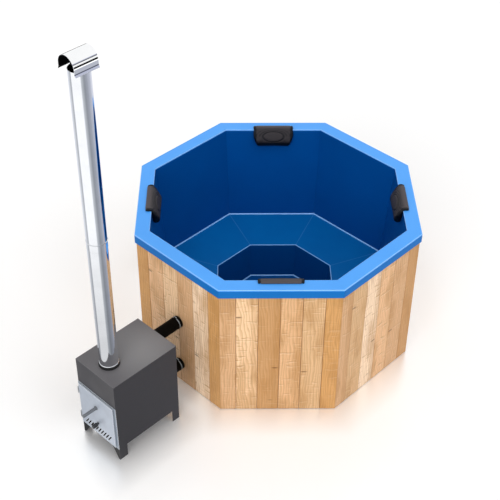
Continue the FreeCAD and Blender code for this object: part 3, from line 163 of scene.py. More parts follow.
class StoveColours(bpy.types.PropertyGroup):
    """Colours of the stove, its door, chimney and hoses."""
    paint: colour("Paint", "Heat-proof paint of the front and back", "#3B393C")
    # The top paint is painted lighter and the side paint darker than the front's paint: painted light on the top and
    # painted shade on the sides of one paint.
    paint_top: colour("Top paint", "Heat-proof paint of the top", "#5A585B")
    paint_faded: colour("Faded paint", "Top paint faded by the heat behind the flue", "#7C7B7C")
    paint_side: colour("Side paint", "Heat-proof paint of the two sides", "#343337")
    # Near-black foot paint is painted shade on the legs beneath the stove; the flue collar is dressed in it too.
    paint_foot: colour("Foot paint", "Paint of the folded feet", "#0D0D0E")
    paint_worn: colour("Worn paint", "Paint rubbed thin along the edges", "#717073")
    soot: colour("Soot", "Inside of the firebox", "#1D1A18")
    # Painted shade under the cap's vault.
    flue_soot: colour("Flue soot", "Inside of the chimney cap", "#030303")
    # Painted shade along the folds of the cap.
    fold_grime: colour("Fold grime", "Dust and soot in the folds of the cap", "#4A5068")
    iron: colour("Iron", "Cast grate", "#3A3836")
    door: colour("Door", "Satin sheet of the door", "#BEC6D2")
    door_stain: colour("Door stain", "Heat tint of the door", "#AEB4BF")
    # Painted highlight along the bevelled edges of the door and its frame.
    door_edge_highlight: colour("Door edge", "Ground edges of the door", "#F4F7FA")
    door_frame: colour("Door frame", "Satin frame round the door", "#98A2AE")
    handle: colour("Handle", "Coated handle", "#686C72")
    ash: colour("Ash pan", "Pressed sheet of the ash pan", "#4B4F55")
    knob: colour("Knob", "Air slide and its knob", "#26272A")
    rope: colour("Rope", "Woven glass seal", "#8D8A83")
    stainless: colour("Stainless", "Bright chimney pipes", "#E6E8EC")
    # The cap's sheet is the pipes' stainless painted near white, as painted light.
    cap: colour("Cap", "Polished sheet of the chimney cap", "#FAFBFC")
    rubber: colour("Rubber", "Hoses", "#040302")
    rubber_worn: colour("Worn rubber", "Chalked patches of the hoses", "#0B0907")
    zinc: colour("Zinc", "Turned and drawn bright steel", "#D2D5D8")
    band: colour("Band", "Hose clamps", "#9DA9B2")


class PillowSizes(bpy.types.PropertyGroup):
    """Sizes of a neck pillow that hooks over the rim."""
    wide: length("Width", "From end to end along the rim", 288)
    on_rim: length("Seat", "How far it lies out over the rim", 41)
    deep: length("Depth", "How far it stands into the tub", 54)
    drop: length("Drop", "How far it hangs below the rim", 119)
    rise: length("Rise", "How far it stands above the rim", 18)
    play: length("Play", "Clearance to rim and wall", 0.5)
    lean: length("Wall lean", "How far the wall leans in over its height", 50)
    liner_wall: length("Liner wall", "Thickness of the liner's sheet", 8)
    voxel: length("Mesh size", "Size of the skin's faces before the last division", 4.5)
    swell: length("Swell", "Most that the filling moves the skin", 5)
    crease: length("Crease", "Depth of the creases", 3.4)
    panel: length("Panel", "Rise of the oval head panel", 2.4)


class TrimSizes(bpy.types.PropertyGroup):
    """Sizes of the trim ring round the flue."""
    ring_wide: length("Ring width", "How far the ring stands out from the pipe", 2.6)
    ring_tall: length("Ring height", "How far the ring stands up from the collar", 8)
    play: length("Play", "Clearance to the pipe", 0.2)


class StageSettings(bpy.types.PropertyGroup):
    """Camera and light."""
    camera: bpy.props.FloatVectorProperty(
        name="Camera", description="Place of the camera", default=(4.0373, -4.4393, 5.5503),
        size=3, subtype="XYZ", unit="LENGTH")
    yaw: tilt("Yaw", "Heading of the camera from +Y towards +X", -43.967)
    pitch: tilt("Pitch", "Fall of the camera's line of sight", 39.464)
    roll: tilt("Roll", "Turn about the line of sight", 0.505)
    lens: amount("Lens", "Focal length in millimetres on a 36 mm sensor", 80.72)
    world: amount("World", "Strength of the light from all round", 0.55)
    key: amount("Key", "Share of full light from the lamp at the right", 0.17)
    top: amount("Top", "Share of full light from the lamp overhead", 0.25)
    fill: amount("Fill", "Share of full light from the lamp at the stove's side", 0.33)


def per_mm(millimetres):
    """Texture scale at which one feature is this wide."""
    return 1 / (millimetres * MM)


def add_node(tree, kind, *values, mm=0, out=None, stops=(), **given):
    """Adds a node and returns its first open output, or the one or several that out names.

    An operation may follow the kind after a dot. A given name with a capital is a socket, with _ for its spaces, and
    any other is a setting. Values go to the open sockets in order: a map's are its value, from low, from high, to low
    and to high. Each is a constant or another node's output. A pattern's features are so many mm wide, and stops fill
    a ramp.
    """
    if mm:
        given["Scale"] = per_mm(mm)
    kind, _, operation = kind.partition(".")
    made = tree.nodes.new("ShaderNode" + kind)
    if operation:
        made.operation = operation
    for key, value in given.items():
        if key[0].islower():
            setattr(made, key, value)
    sockets = [socket for socket in made.inputs if socket.enabled]
    names = {socket.name.replace(" ", "_"): socket for socket in reversed(sockets)}
    pairs = list(zip(sockets, values)) + [(names[key], given[key]) for key in given if key[0].isupper()]
    for socket, value in pairs:
        if isinstance(value, bpy.types.NodeSocket):
            tree.links.new(value, socket)
        else:
            socket.default_value = value
    while stops and len(made.color_ramp.elements) < len(stops):
        made.color_ramp.elements.new(1.0)
    for number, (position, shade) in enumerate(stops):
        made.color_ramp.elements[number].position = position
        made.color_ramp.elements[number].color = shade
    if isinstance(out, tuple):
        return [made.outputs[name] for name in out]
    return made.outputs[out] if out else next((socket for socket in made.outputs if socket.enabled), None)


def new_finish(name, kind="TexCoord", out="Object", **settings):
    """New material, what adds its nodes, and the coordinates that its patterns are laid out by."""
    finish = bpy.data.materials.new(name)
    finish.use_nodes = True
    finish.node_tree.nodes.clear()
    add = partial(add_node, finish.node_tree)
    return finish, add, add(kind, out=out, **settings)


def layered(add, base, *layers):
    """Colour with the shade of each layer laid over it by its factor."""
    for factor, shade in layers:
        base = add("Mix", factor, base, shade, data_type="RGBA")
    return base


def closed(finish, add, **sockets):
    """The finish, ended with its shader."""
    add("OutputMaterial", add("BsdfPrincipled", **sockets))
    return finish


def dress(finish, *names):
    """Gives CAD nodes a finish in their own material slots."""
    for name in names:
        node = frame["nodes"][name]
        if not node.material_slots:
            node.data.materials.append(finish)
        for slot in node.material_slots:
            slot.material = finish


def new_piece(name, points, faces, finish, body):
    """Mesh piece at the origin with smooth faces, riding on a body."""
    mesh = bpy.data.meshes.new(name)
    mesh.from_pydata(points.tolist(), [], faces.tolist())
    mesh.polygons.foreach_set("use_smooth", np.ones(len(mesh.polygons), dtype=bool))
    mesh.materials.append(finish)
    mesh.update()
    piece = bpy.data.objects.new(name, mesh)
    bpy.context.scene.collection.objects.link(piece)
    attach(piece, body)
    return piece


def grid_faces(rows, columns, wrap_rows=False, wrap_columns=False):
    """Quads of a grid of points numbered row by row. Each joins a point to its next column and next row."""
    r = np.arange(rows if wrap_rows else rows - 1)
    c = np.arange(columns if wrap_columns else columns - 1)
    r, c = np.meshgrid(r, c, indexing="ij")
    here, right = r * columns + c, r * columns + (c + 1) % columns
    above, across = (r + 1) % rows * columns + c, (r + 1) % rows * columns + (c + 1) % columns
    return np.stack([here, right, across, above], axis=-1).reshape(-1, 4)


SMOOTH = {"interpolation_type": "SMOOTHSTEP"}
PLASTIC_IOR = 1.49
BEVEL_SAMPLES = 8
# How far a bevelled normal agrees with the true one where an edge starts and where it is full.
EDGE_FROM, EDGE_FULL = 0.985, 0.90
MITRE_FROM, MITRE_FULL = 3.5 * MM, 1.5 * MM


# Extruded polypropylene sheet: satin, faintly mottled, orange-peeled by the rollers, with a painted highlight along its
# rounded upper edges.
# A ring of eight panels shows a faint paler weld at each mitre: half an eighth past every eighth of a turn, where the
# distance to the seam is the radius times the sine of the angle to it.
def polypropylene_sheet(name, tint, shade, edge_tint, edge_highlight=0.0, specular=0.25, mitred=0.0):
    finish, add, spot = new_finish(name)
    cloud = add("TexNoise", Vector=spot, mm=220, Detail=4)
    peel = add("TexNoise", Vector=spot, mm=5, Detail=2)
    edge = add("Bevel", Radius=5 * MM, samples=BEVEL_SAMPLES)
    level = add("SeparateXYZ", edge, out="Z")
    # Painted highlight: a paler colour where the bevelled normal turns away along the upper edges.
    turned = add("MapRange", level, EDGE_FROM, EDGE_FULL, To_Max=edge_highlight)
    upper = add("MapRange", level, 0.15, 0.35)
    layers = [(cloud, shade), (add("Math.MULTIPLY", turned, upper), edge_tint)]
    if mitred:
        x, y = add("SeparateXYZ", spot, out=("X", "Y"))
        aside = add("Math.PINGPONG", add("Math.ARCTAN2", y, x), FACE_TURN / 2)
        aside = add("Math.SINE", add("Math.SUBTRACT", FACE_TURN / 2, aside))
        aside = add("Math.MULTIPLY", aside, add("VectorMath.LENGTH", spot))
        layers.append((add("MapRange", aside, MITRE_FROM, MITRE_FULL, To_Max=mitred), edge_tint))
    return closed(
        finish, add, Base_Color=layered(add, tint, *layers), IOR=PLASTIC_IOR, Specular_IOR_Level=specular,
        Roughness=add("MapRange", cloud, To_Min=0.28, To_Max=0.40),
        Normal=add("Bump", Height=peel, Strength=0.12, Distance=0.25 * MM, Normal=edge))


# Extruded weld bead: the same plastic, stretched paler, with the ripple of a hand-held extruder.
def weld_bead(name, tint, shade):
    finish, add, spot = new_finish(name)
    ripple = add("TexNoise", Vector=spot, mm=6, Detail=2)
    return closed(
        finish, add, Base_Color=layered(add, tint, (ripple, shade)), IOR=PLASTIC_IOR,
        Roughness=add("MapRange", ripple, To_Min=0.3, To_Max=0.45),
        Normal=add("Bump", Height=ripple, Strength=0.5, Distance=0.5 * MM))


BOARD_WIDE = 138.5 * MM
RING_WIDE_MM = 17
RING_SWAY = 60 * MM
HIGHLIGHT_SHIFT = 8 * MM
BOARD_SEED = 17.0


# Planed spruce, clear oiled: each board has its own tone, year rings, fibres, cross figure and small knots.
def oiled_spruce(name, tones, wood, turn, seed):
    finish, add, spot = new_finish(name)
    flat = add("Mapping", Vector=spot, Rotation=(0, 0, -turn))
    across, upward = add("SeparateXYZ", flat, out=("X", "Z"))

    # Which board, and the place across it from 0 to 1.
    count = add("Math.DIVIDE", across, BOARD_WIDE)
    board = add("Math.FLOOR", count)
    inside = add("Math.SUBTRACT", count, board)
    half = len(tones) / 2
    tone = add("ValToRGB", add("MapRange", board, -half, half), stops=[
        ((i - 0.5) / len(tones) if i else 0.0, shade) for i, shade in enumerate(tones)])
    tone.node.color_ramp.interpolation = "CONSTANT"
    draw = add("Math.ADD", board, seed)
    lots = add("TexWhiteNoise", W=draw, noise_dimensions="1D", out="Color")
    red, green, blue = add("SeparateColor", lots, out=("Red", "Green", "Blue"))
    own = add("VectorMath.ADD", flat, add("CombineXYZ", X=board, Y=draw))

    # Year rings: distance from a pith well off the board that leans along it, swayed by slow noise into waves.
    pith = add("MapRange", red, To_Min=-2.2, To_Max=-0.5)
    aside = add("Math.MULTIPLY", add("Math.SUBTRACT", inside, pith), BOARD_WIDE)
    lean = add("MapRange", green, To_Min=-0.16, To_Max=0.16)
    sink = add("MapRange", blue, To_Min=0.01, To_Max=0.06)
    depth = add("Math.MULTIPLY_ADD", upward, lean, sink)
    squares = add("Math.MULTIPLY_ADD", depth, depth, add("Math.MULTIPLY", aside, aside))
    sway = add("TexNoise", Vector=add("VectorMath.MULTIPLY", own, (1, 1, 0.30)), mm=75, Detail=2)
    radius = add("Math.MULTIPLY_ADD", sway, RING_SWAY, add("Math.SQRT", squares))
    rings = add("Math.FRACT", add("Math.MULTIPLY", radius, per_mm(RING_WIDE_MM)))
    late_wood = add("MapRange", rings, 0.30, 0.95, To_Max=0.42, **SMOOTH)

    # Blotches: oil drunk unevenly, in patches drawn out along the board.
    patch = add("TexNoise", Vector=add("VectorMath.MULTIPLY", own, (1, 1, 0.36)), mm=90, Detail=3)
    patch = add("MapRange", patch, 0.42, 0.68, To_Max=0.46, **SMOOTH)

    # Fibres run along the board. Real ones are finer than a pixel, so these are drawn 5 mm wide to show.
    fibre = add("VectorMath.MULTIPLY", own, (1, 1, 0.03))
    fibre = add("TexNoise", Vector=fibre, mm=5, Detail=5, Roughness=0.62)

    # Cross figure: short level dents, stronger on the pale boards, each with a painted highlight just under it.
    figured = add("MapRange", add("RGBToBW", tone), 0.38, 0.60, 0.12, 0.62)
    flanks = []
    for rise in (0, HIGHLIGHT_SHIFT):
        level = add("VectorMath.MULTIPLY", add("VectorMath.ADD", own, (0, 0, rise)), (0.16, 0.16, 1))
        dent = add("TexNoise", Vector=level, mm=16, Detail=2, Distortion=0.5)
        flanks.append(add("Math.MULTIPLY", add("MapRange", dent, 0.58, 0.70, **SMOOTH), figured))
    cross, flank_highlight = flanks[0], add("Math.MULTIPLY", flanks[1], 0.55)

    # Knots: a few cells of a stretched cell pattern hold a dark oval, wider than it is tall.
    knot_line = add("VectorMath.MULTIPLY", own, (0.30, 0, 1))
    distance, kind = add("TexVoronoi", Vector=knot_line, mm=75, out=("Distance", "Color"))
    chosen = add("Math.GREATER_THAN", add("SeparateColor", kind, out="Red"), 0.64)
    oval = add("Math.MULTIPLY", add("MapRange", distance, 0.12, 0.04, To_Max=0.70, **SMOOTH), chosen)

    # Heartwood strip along one edge of some boards.
    strip = add("MapRange", inside, 0.66, 0.72, **SMOOTH)
    strip = add("Math.MULTIPLY", strip, add("Math.GREATER_THAN", green, 0.55))
    strip = add("Math.MULTIPLY", strip, 0.28)

    # Dust and shade gather in the bevels at both edges of a board.
    centred = add("Math.ABSOLUTE", add("Math.SUBTRACT", inside, 0.5))
    seam = add("MapRange", centred, 0.478, 0.494, To_Max=0.42, **SMOOTH)

    base = layered(
        add, tone, (late_wood, wood.late), (patch, wood.late), (strip, wood.late), (flank_highlight, wood.dent_highlight),
        (cross, wood.late), (oval, wood.knot), (seam, wood.knot))
    dents = add("Bump", Height=cross, Strength=0.3, Distance=3 * MM, invert=True)
    return closed(
        finish, add, Base_Color=add("VectorMath.SCALE", base, add("MapRange", fibre, 0.3, 0.7, 0.88, 1.12)),
        Roughness=add("MapRange", fibre, To_Min=0.42, To_Max=0.62), Specular_IOR_Level=0.3,
        Normal=add("Bump", Height=fibre, Strength=0.35, Distance=0.4 * MM, Normal=dents))


# Sawn spruce framing: dull, with the band saw's fine cross marks.
def sawn_spruce(name, tint, late):
    finish, add, spot = new_finish(name)
    grain = add("TexNoise", Vector=spot, mm=14, Detail=5, Distortion=0.8)
    saw = add("TexWave", Vector=spot, mm=28, Distortion=2, Detail=2, out="Fac")
    return closed(
        finish, add, Base_Color=layered(add, tint, (grain, late)), Specular_IOR_Level=0.25,
        Roughness=add("MapRange", grain, To_Min=0.65, To_Max=0.85),
        Normal=add("Bump", Height=saw, Strength=0.3, Distance=0.6 * MM))


def edge_mask(add, rounded, share):
    """Rises to a share where a bevelled normal turns away from the true one, which is along the sharp edges."""
    agree = add("VectorMath.DOT_PRODUCT", rounded, add("NewGeometry", out="Normal"))
    return add("MapRange", agree, EDGE_FROM, EDGE_FULL, To_Max=share)


HOT_SPOT, HOT_REACH = (104 * MM, -1310 * MM, 654 * MM), 360 * MM


# Heat-proof paint on steel plate: matt with a fine sandy grain, rubbed paler along the edges.
# Round the stove's hot spot it has faded, where a faded tint is given.
def stove_paint(name, tint, worn, rough, faded=None):
    finish, add, spot = new_finish(name)
    cloud = add("TexNoise", Vector=spot, mm=160, Detail=4)
    sand = add("TexNoise", Vector=spot, mm=2, Detail=2)
    edge = add("Bevel", Radius=2 * MM, samples=BEVEL_SAMPLES)
    layers = [(add("MapRange", cloud, 0.35, 0.75, To_Max=0.16), worn), (edge_mask(add, edge, share=0.55), worn)]
    if faded:
        away = add("VectorMath.DISTANCE", spot, HOT_SPOT)
        layers.insert(0, (add("MapRange", away, HOT_REACH, 0, **SMOOTH), faded))
    return closed(
        finish, add, Base_Color=layered(add, tint, *layers),
        Roughness=add("MapRange", cloud, To_Min=rough[0], To_Max=rough[1]),
        Normal=add("Bump", Height=sand, Strength=0.25, Distance=0.15 * MM, Normal=edge))


CAP_AXIS = ((CAP[0].x + CAP[1].x) / 2, 0.0, 2755 * MM)
CAP_FOLD, FOLD_FROM, FOLD_FULL = 2731 * MM, 4 * MM, 1.5 * MM
# A face of the cap looks towards its axis where it lies less than this far along its own normal from it.
TOWARDS_AXIS = -1 * MM
VAULT_SHADE_ROUGH, VAULT_SHADE_SPECULAR, PLAIN_SPECULAR = 0.8, 0.05, 0.5


# Bare metal: rolled, brushed, cast or sooted according to its grain. Stretch sets how far the grain is drawn out.
# Its edges are rounded by so many mm, and take a painted highlight where an edge tint is given. Painted shade blackens
# the faces that look towards the cap's axis, and a painted dark line of shade lies along its two folds.
def bare_metal(
        name, tint, stain, stained, metallic, roughness, grain_mm, relief_mm, stretch=(1, 1, 1), edge_mm=1,
        edge_tint=None, soot=None, grime=None):
    finish, add, spot = new_finish(name)
    drawn = add("VectorMath.MULTIPLY", spot, stretch)
    grain = add("TexNoise", Vector=drawn, mm=grain_mm, Detail=4)
    cloud = add("TexNoise", Vector=spot, mm=90, Detail=4)
    edge = add("Bevel", Radius=edge_mm * MM, samples=BEVEL_SAMPLES)
    gloss = add("MapRange", grain, To_Min=roughness * 0.75, To_Max=roughness * 1.25)
    layers = [(add("MapRange", cloud, 0.4, 0.72, To_Max=stained), stain)]
    # Painted highlight where an edge tint is given.
    if edge_tint:
        layers.append((edge_mask(add, edge, share=0.9), edge_tint))
    # Painted shade: black under the cap's vault and a dark line along its folds.
    if soot:
        level = add("Math.SUBTRACT", add("SeparateXYZ", spot, out="Z"), CAP_FOLD)
        fold = add("MapRange", add("Math.ABSOLUTE", level), FOLD_FROM, FOLD_FULL, To_Max=0.9)
        away = add("VectorMath.MULTIPLY", add("VectorMath.SUBTRACT", spot, CAP_AXIS), (1, 0, 1))
        outward = add("VectorMath.DOT_PRODUCT", away, add("NewGeometry", out="Normal"))
        inner = add("Math.LESS_THAN", outward, TOWARDS_AXIS)
        layers += [(fold, grime), (inner, soot)]
        metallic = add("MapRange", inner, To_Min=metallic, To_Max=0)
        gloss = add("Math.MAXIMUM", gloss, add("Math.MULTIPLY", inner, VAULT_SHADE_ROUGH))
    return closed(
        finish, add, Base_Color=layered(add, tint, *layers), Metallic=metallic, Roughness=gloss,
        Specular_IOR_Level=VAULT_SHADE_SPECULAR if soot else PLAIN_SPECULAR,
        Normal=add("Bump", Height=grain, Strength=0.2, Distance=relief_mm * MM, Normal=edge))


CLAMP_WIDE, CLAMP_STRIP, LIP_STEP = 13 * MM, 5.5 * MM, 0.5 * MM


# Zinc-plated band: a grey strip between dark, raised lips along its two edges, whose darkness is painted shade.
# The distance along Y to the nearest clamp's middle tells strip from lip.
def band_with_shaded_lips(name, tint, stain, lip_shade):
    finish, add, spot = new_finish(name)
    cloud = add("TexNoise", Vector=spot, mm=30, Detail=3)
    away = add("SeparateXYZ", spot, out="Y")
    reach = (CLAMPS[1].y - CLAMPS[0].y - CLAMP_WIDE) / 2
    for start in ((CLAMPS[0].y + CLAMPS[1].y) / 2, reach):
        away = add("Math.ABSOLUTE", add("Math.SUBTRACT", away, start))
    lip_mask = add("MapRange", away, CLAMP_STRIP / 2, CLAMP_STRIP / 2 + LIP_STEP)
    dulled = add("MapRange", cloud, From_Min=0.4, To_Max=0.3)
    return closed(
        finish, add, Base_Color=layered(add, tint, (dulled, stain), (lip_mask, lip_shade)), Specular_IOR_Level=0.15,
        Metallic=add("MapRange", lip_mask, To_Min=0.5, To_Max=0),
        Roughness=add("MapRange", lip_mask, To_Min=0.35, To_Max=0.55),
        Normal=add("Bump", Height=lip_mask, Strength=0.4, Distance=0.6 * MM))


# Moulded plastic, rubber and dipped sleeves: even colour, a fine mould grain and soft highlights.
def moulded(name, tint, shade, roughness, grain_mm=3, relief_mm=0.1, specular=PLAIN_SPECULAR):
    finish, add, spot = new_finish(name)
    grain = add("TexNoise", Vector=spot, mm=grain_mm, Detail=3)
    cloud = add("TexNoise", Vector=spot, mm=60, Detail=3)
    return closed(
        finish, add, Base_Color=layered(add, tint, (cloud, shade)), Specular_IOR_Level=specular,
        Roughness=add("MapRange", cloud, To_Min=roughness * 0.8, To_Max=roughness * 1.2),
        Normal=add("Bump", Height=grain, Strength=0.3, Distance=relief_mm * MM))


# Skin of moulded foam: charcoal vinyl with a leather grain, dark on its ends, with painted shade on its face, in its
# creases and under it.
def grained_vinyl(name, tint, dark):
    finish, add, spot = new_finish(name)
    grain = add("TexVoronoi", Vector=spot, mm=3.5)
    cloud = add("TexNoise", Vector=spot, mm=45, Detail=4)
    shaded = add("Attribute", attribute_name="shaded", out="Fac")
    return closed(
        finish, add, Base_Color=layered(add, tint, (shaded, dark)), Specular_IOR_Level=0.25,
        Roughness=add("MapRange", cloud, To_Min=0.38, To_Max=0.56),
        Normal=add("Bump", Height=grain, Strength=0.25, Distance=0.4 * MM))


# Woven glass rope: dull grey plait whose strands cross at a slant, read from the piece's own UV map.
def glass_rope(name, tint, dark):
    finish, add, spot = new_finish(name, "UVMap", "UV", uv_map="UVMap")
    strands = [
        add("TexWave", Vector=add("Mapping", Vector=spot, Rotation=(0, 0, math.radians(slant))), mm=22,
            Distortion=0.6, out="Fac") for slant in (50, -50)]
    plait = add("Math.MAXIMUM", *strands)
    return closed(
        finish, add, Base_Color=layered(add, dark, (plait, tint)), Roughness=0.9, Specular_IOR_Level=0.2,
        Normal=add("Bump", Height=plait, Strength=0.6, Distance=0.6 * MM))


def smooth_step(low, high, value):
    """0 below low, 1 above high and 3t^2 - 2t^3 between."""
    t = np.clip((value - low) / (high - low), 0.0, 1.0)
    return t * t * (3 - 2 * t)


def hump(place, spread, value):
    """Gaussian of the distance to a place."""
    return np.exp(-((value - place) / spread) ** 2)


def closed_curve(corners, per_span):
    """Closed Catmull-Rom curve: each span is the cubic through its two corners with slopes of their neighbours."""
    before, start, stop, after = (np.roll(corners, shift, axis=0)[:, None, :] for shift in (1, 0, -1, -2))
    t = np.linspace(0, 1, per_span, endpoint=False)[None, :, None]
    curve = 0.5 * (2 * start + (stop - before) * t + (2 * before - 5 * start + 4 * stop - after) * t ** 2
                   + (3 * start - before - 3 * stop + after) * t ** 3)
    return curve.reshape(-1, corners.shape[1])


# Points of a pillow's section as shares: into the tub of its depth or out over the rim of its seat,
# and up of its rise or down of its drop.
SECTION_SHARES = (
    (0.00, 0.00), (0.07, -0.45), (0.135, -0.88), (0.24, -0.975), (0.45, -1.00), (0.74, -0.965), (0.93, -0.86),
    (1.00, -0.66), (0.93, -0.52), (0.80, -0.42), (0.62, -0.27), (0.44, -0.14), (0.24, -0.02), (0.06, 0.50),
    (-0.12, 0.85), (-0.30, 1.00), (-0.52, 0.98), (-0.70, 0.86), (-0.90, 0.64), (-1.00, 0.42), (-0.99, 0.16),
    (-0.93, 0.02), (-0.60, 0.01), (-0.30, 0.01),
)
STATIONS, PER_SPAN = 81, 5
# Where the hanging part starts to run out towards the ends, how much of it goes, and how fast.
RUN_OUT_FROM, RUN_OUT_SHARE, RUN_OUT_POWER = 0.72, 0.6, 2.2
# The part on the rim has a waist near each end and is lower at the very ends.
WAIST_AT, WAIST_SPREAD, WAIST_SHARE = 0.90, 0.02, 0.08
TIP_FROM, TIP_SHARE = 0.94, 0.20


def pillow_form(sizes):
    """Grid of a pillow at the -Y wall: columns go round the section and rows run from end to end.

    The section is a closed curve. At row s from -1 to 1 its part in the tub is scaled by 1 less a power of how far |s|
    is past the start of the run-out. Its part on the rim is scaled by 1 less a shallow waist and a step at the very
    ends. The end rows shrink to a point.
    """
    shares = np.array(SECTION_SHARES)
    inward = shares[:, 0] * np.where(shares[:, 0] > 0, sizes.deep, sizes.on_rim)
    upward = shares[:, 1] * np.where(shares[:, 1] > 0, sizes.rise, sizes.drop)
    section = closed_curve(np.stack([inward, upward], axis=1), PER_SPAN)
    s = np.sin(np.linspace(-np.pi / 2, np.pi / 2, STATIONS))
    end = np.abs(s)
    past = np.maximum(0.0, end - RUN_OUT_FROM) / (1 - RUN_OUT_FROM)
    hanging = 1 - RUN_OUT_SHARE * past ** RUN_OUT_POWER
    on_rim = 1 - TIP_SHARE * smooth_step(TIP_FROM, 1.0, end) - WAIST_SHARE * hump(WAIST_AT, WAIST_SPREAD, end)
    in_tub = np.where(section[:, 0] > 0, hanging[:, None], on_rim[:, None])
    below = np.where(section[:, 1] > 0, on_rim[:, None], hanging[:, None])
    rows = np.stack([section[:, 0] * in_tub, section[:, 1] * below], axis=-1)
    middle = rows.mean(axis=1, keepdims=True)
    closing = np.ones((STATIONS, 1, 1))
    closing[[0, -1]] = 0.0
    rows = middle + (rows - middle) * closing
    along = np.broadcast_to((s * sizes.wide / 2)[:, None], rows.shape[:2])
    return np.stack([along, rows[..., 0], rows[..., 1]], axis=-1)


# Run down the sloping face, from depth and fall.
DOWN_BY_DEPTH, DOWN_BY_FALL = 0.64, 0.77
# The panel's middle and half height as shares of the drop, its half width as a share of half the pillow's width, and
# how far out it stays level.
PANEL_AT, PANEL_TALL, PANEL_WIDE, PANEL_FLAT = 0.44, 0.31, 0.53, 0.80
# Place and spread of the panel's crease, of the two arched creases past it and of the crease near each end. An arch
# has its depth third, as a share of the panel crease's. The end creases have theirs below.
CREASE, ARCHES, END_CREASE = (1.0, 0.09), ((1.28, 0.07, 0.75), (1.60, 0.07, 0.55)), (0.88, 0.02)
END_DEPTH = 0.6
# From where to where the skin comes to face the tub, the arches set in, the underside begins and the ends go dark.
FACING, ARCHED, UNDER, DARK_ENDS = (-0.35, 0.10), (-0.25, 0.25), (-0.50, -0.90), (0.84, 0.92)
# Painted shade of the face turned into the tub, and the painted shade that a crease on it, an end crease and the
# underside add.
FACE_SHADE, CREASE_SHADE, END_SHADE, UNDER_SHADE = 0.62, 0.30, 0.5, 0.8


def pillow_details(points, sizes):
    """Rise of the skin and its painted shade in pillow coordinates (along, inward, upward).

    Height runs up the sloping face and is counted from the panel's middle. An oval panel stands up inside a crease,
    two arched creases follow its upper half further out, and one crease crosses near each end. A crease is a Gaussian
    of the distance to its line.
    """
    s = points[:, 0] / (sizes.wide / 2)
    down = DOWN_BY_DEPTH * points[:, 1] - DOWN_BY_FALL * points[:, 2]
    height = (PANEL_AT * sizes.drop - down) / (PANEL_TALL * sizes.drop)
    facing = smooth_step(*FACING, points[:, 1] / sizes.deep)
    oval = np.hypot(s / PANEL_WIDE, height)
    upper = smooth_step(*ARCHED, height)
    crease = hump(*CREASE, oval) + sum(depth * upper * hump(place, spread, oval) for place, spread, depth in ARCHES)
    ends = hump(*END_CREASE, np.abs(s))
    panel = 1 - smooth_step(PANEL_FLAT, 1.0, oval)
    under = smooth_step(*UNDER, points[:, 2] / sizes.drop)
    rise = facing * (sizes.panel * panel - sizes.crease * crease) - END_DEPTH * sizes.crease * ends
    # Painted shade: the face, its creases, the end creases and the underside are darkened.
    shade = (facing * (FACE_SHADE + CREASE_SHADE * crease) + smooth_step(*DARK_ENDS, np.abs(s))
             + END_SHADE * ends + UNDER_SHADE * under)
    return rise, np.clip(shade, 0, 1)


def wall_lean(sizes):
    """How far the wall leans in for each metre that it falls."""
    return sizes.lean / (RIM_HIGH - LINER_LOW.z)


def keep_clear(points, sizes):
    """Moves points out of rim and wall: up to the rim's top over the rim, and inward to the leaning wall below it."""
    wall = sizes.play - wall_lean(sizes) * np.minimum(points[:, 2], 0.0)
    out_depth, down_depth = wall - points[:, 1], sizes.play - points[:, 2]
    sunk = (out_depth > 0) & (down_depth > 0)
    lift = sunk & (down_depth <= out_depth)
    push = sunk & ~lift
    moved = points.copy()
    moved[lift, 2] = sizes.play
    moved[push, 1] = wall[push]
    return moved


def vertex_vectors(mesh, kind="co"):
    """Places or normals of a mesh's vertices as an array."""
    flat = np.empty(len(mesh.vertices) * 3, dtype=np.float32)
    mesh.vertices.foreach_get(kind, flat)
    return flat.reshape(-1, 3).astype(float)


def with_modifier(mesh, kind, **settings):
    """New mesh: this one with a modifier applied."""
    holder = bpy.data.objects.new("pillow_" + kind.lower(), mesh)
    bpy.context.scene.collection.objects.link(holder)
    modifier = holder.modifiers.new(kind.lower(), kind)
    for key, value in settings.items():
        setattr(modifier, key, value)
    bpy.context.view_layer.update()
    applied = shown_mesh(holder)
    bpy.data.objects.remove(holder)
    return applied


def shown_mesh(piece):
    """New mesh of a piece with its modifiers applied."""
    return bpy.data.meshes.new_from_object(piece.evaluated_get(bpy.context.evaluated_depsgraph_get()))


CLOTH_FRAMES = 20
CLOTH_PRESSURE = 4.0
NO_MOVE = 1e-9


def inflate(mesh, sizes):
    """Skin after some frames of cloth with pressure inside, held where it lies on rim and wall, each move capped."""
    scene = bpy.context.scene
    skin = bpy.data.objects.new("pillow_skin", mesh)
    scene.collection.objects.link(skin)
    points = vertex_vectors(mesh)
    near_rim = (points[:, 1] < 0) & (points[:, 2] < sizes.voxel)
    near_wall = (points[:, 2] < 0) & (points[:, 1] + wall_lean(sizes) * points[:, 2] < sizes.voxel)
    seat = skin.vertex_groups.new(name="seat")
    seat.add(np.flatnonzero(near_rim | near_wall).tolist(), 1.0, "REPLACE")
    cloth = skin.modifiers.new("cloth", "CLOTH")
    cloth.settings.use_pressure = True
    cloth.settings.uniform_pressure_force = CLOTH_PRESSURE
    cloth.settings.vertex_group_mass = "seat"
    cloth.settings.effector_weights.gravity = 0.0
    cloth.point_cache.frame_start, cloth.point_cache.frame_end = 1, CLOTH_FRAMES
    for number in range(1, CLOTH_FRAMES + 1):
        scene.frame_set(number)
    swollen = vertex_vectors(shown_mesh(skin))
    scene.frame_set(1)
    move = swollen - points
    reach = np.linalg.norm(move, axis=1, keepdims=True)
    move *= np.minimum(1.0, sizes.swell / np.maximum(reach, NO_MOVE))
    bpy.data.objects.remove(skin)
    return points + move


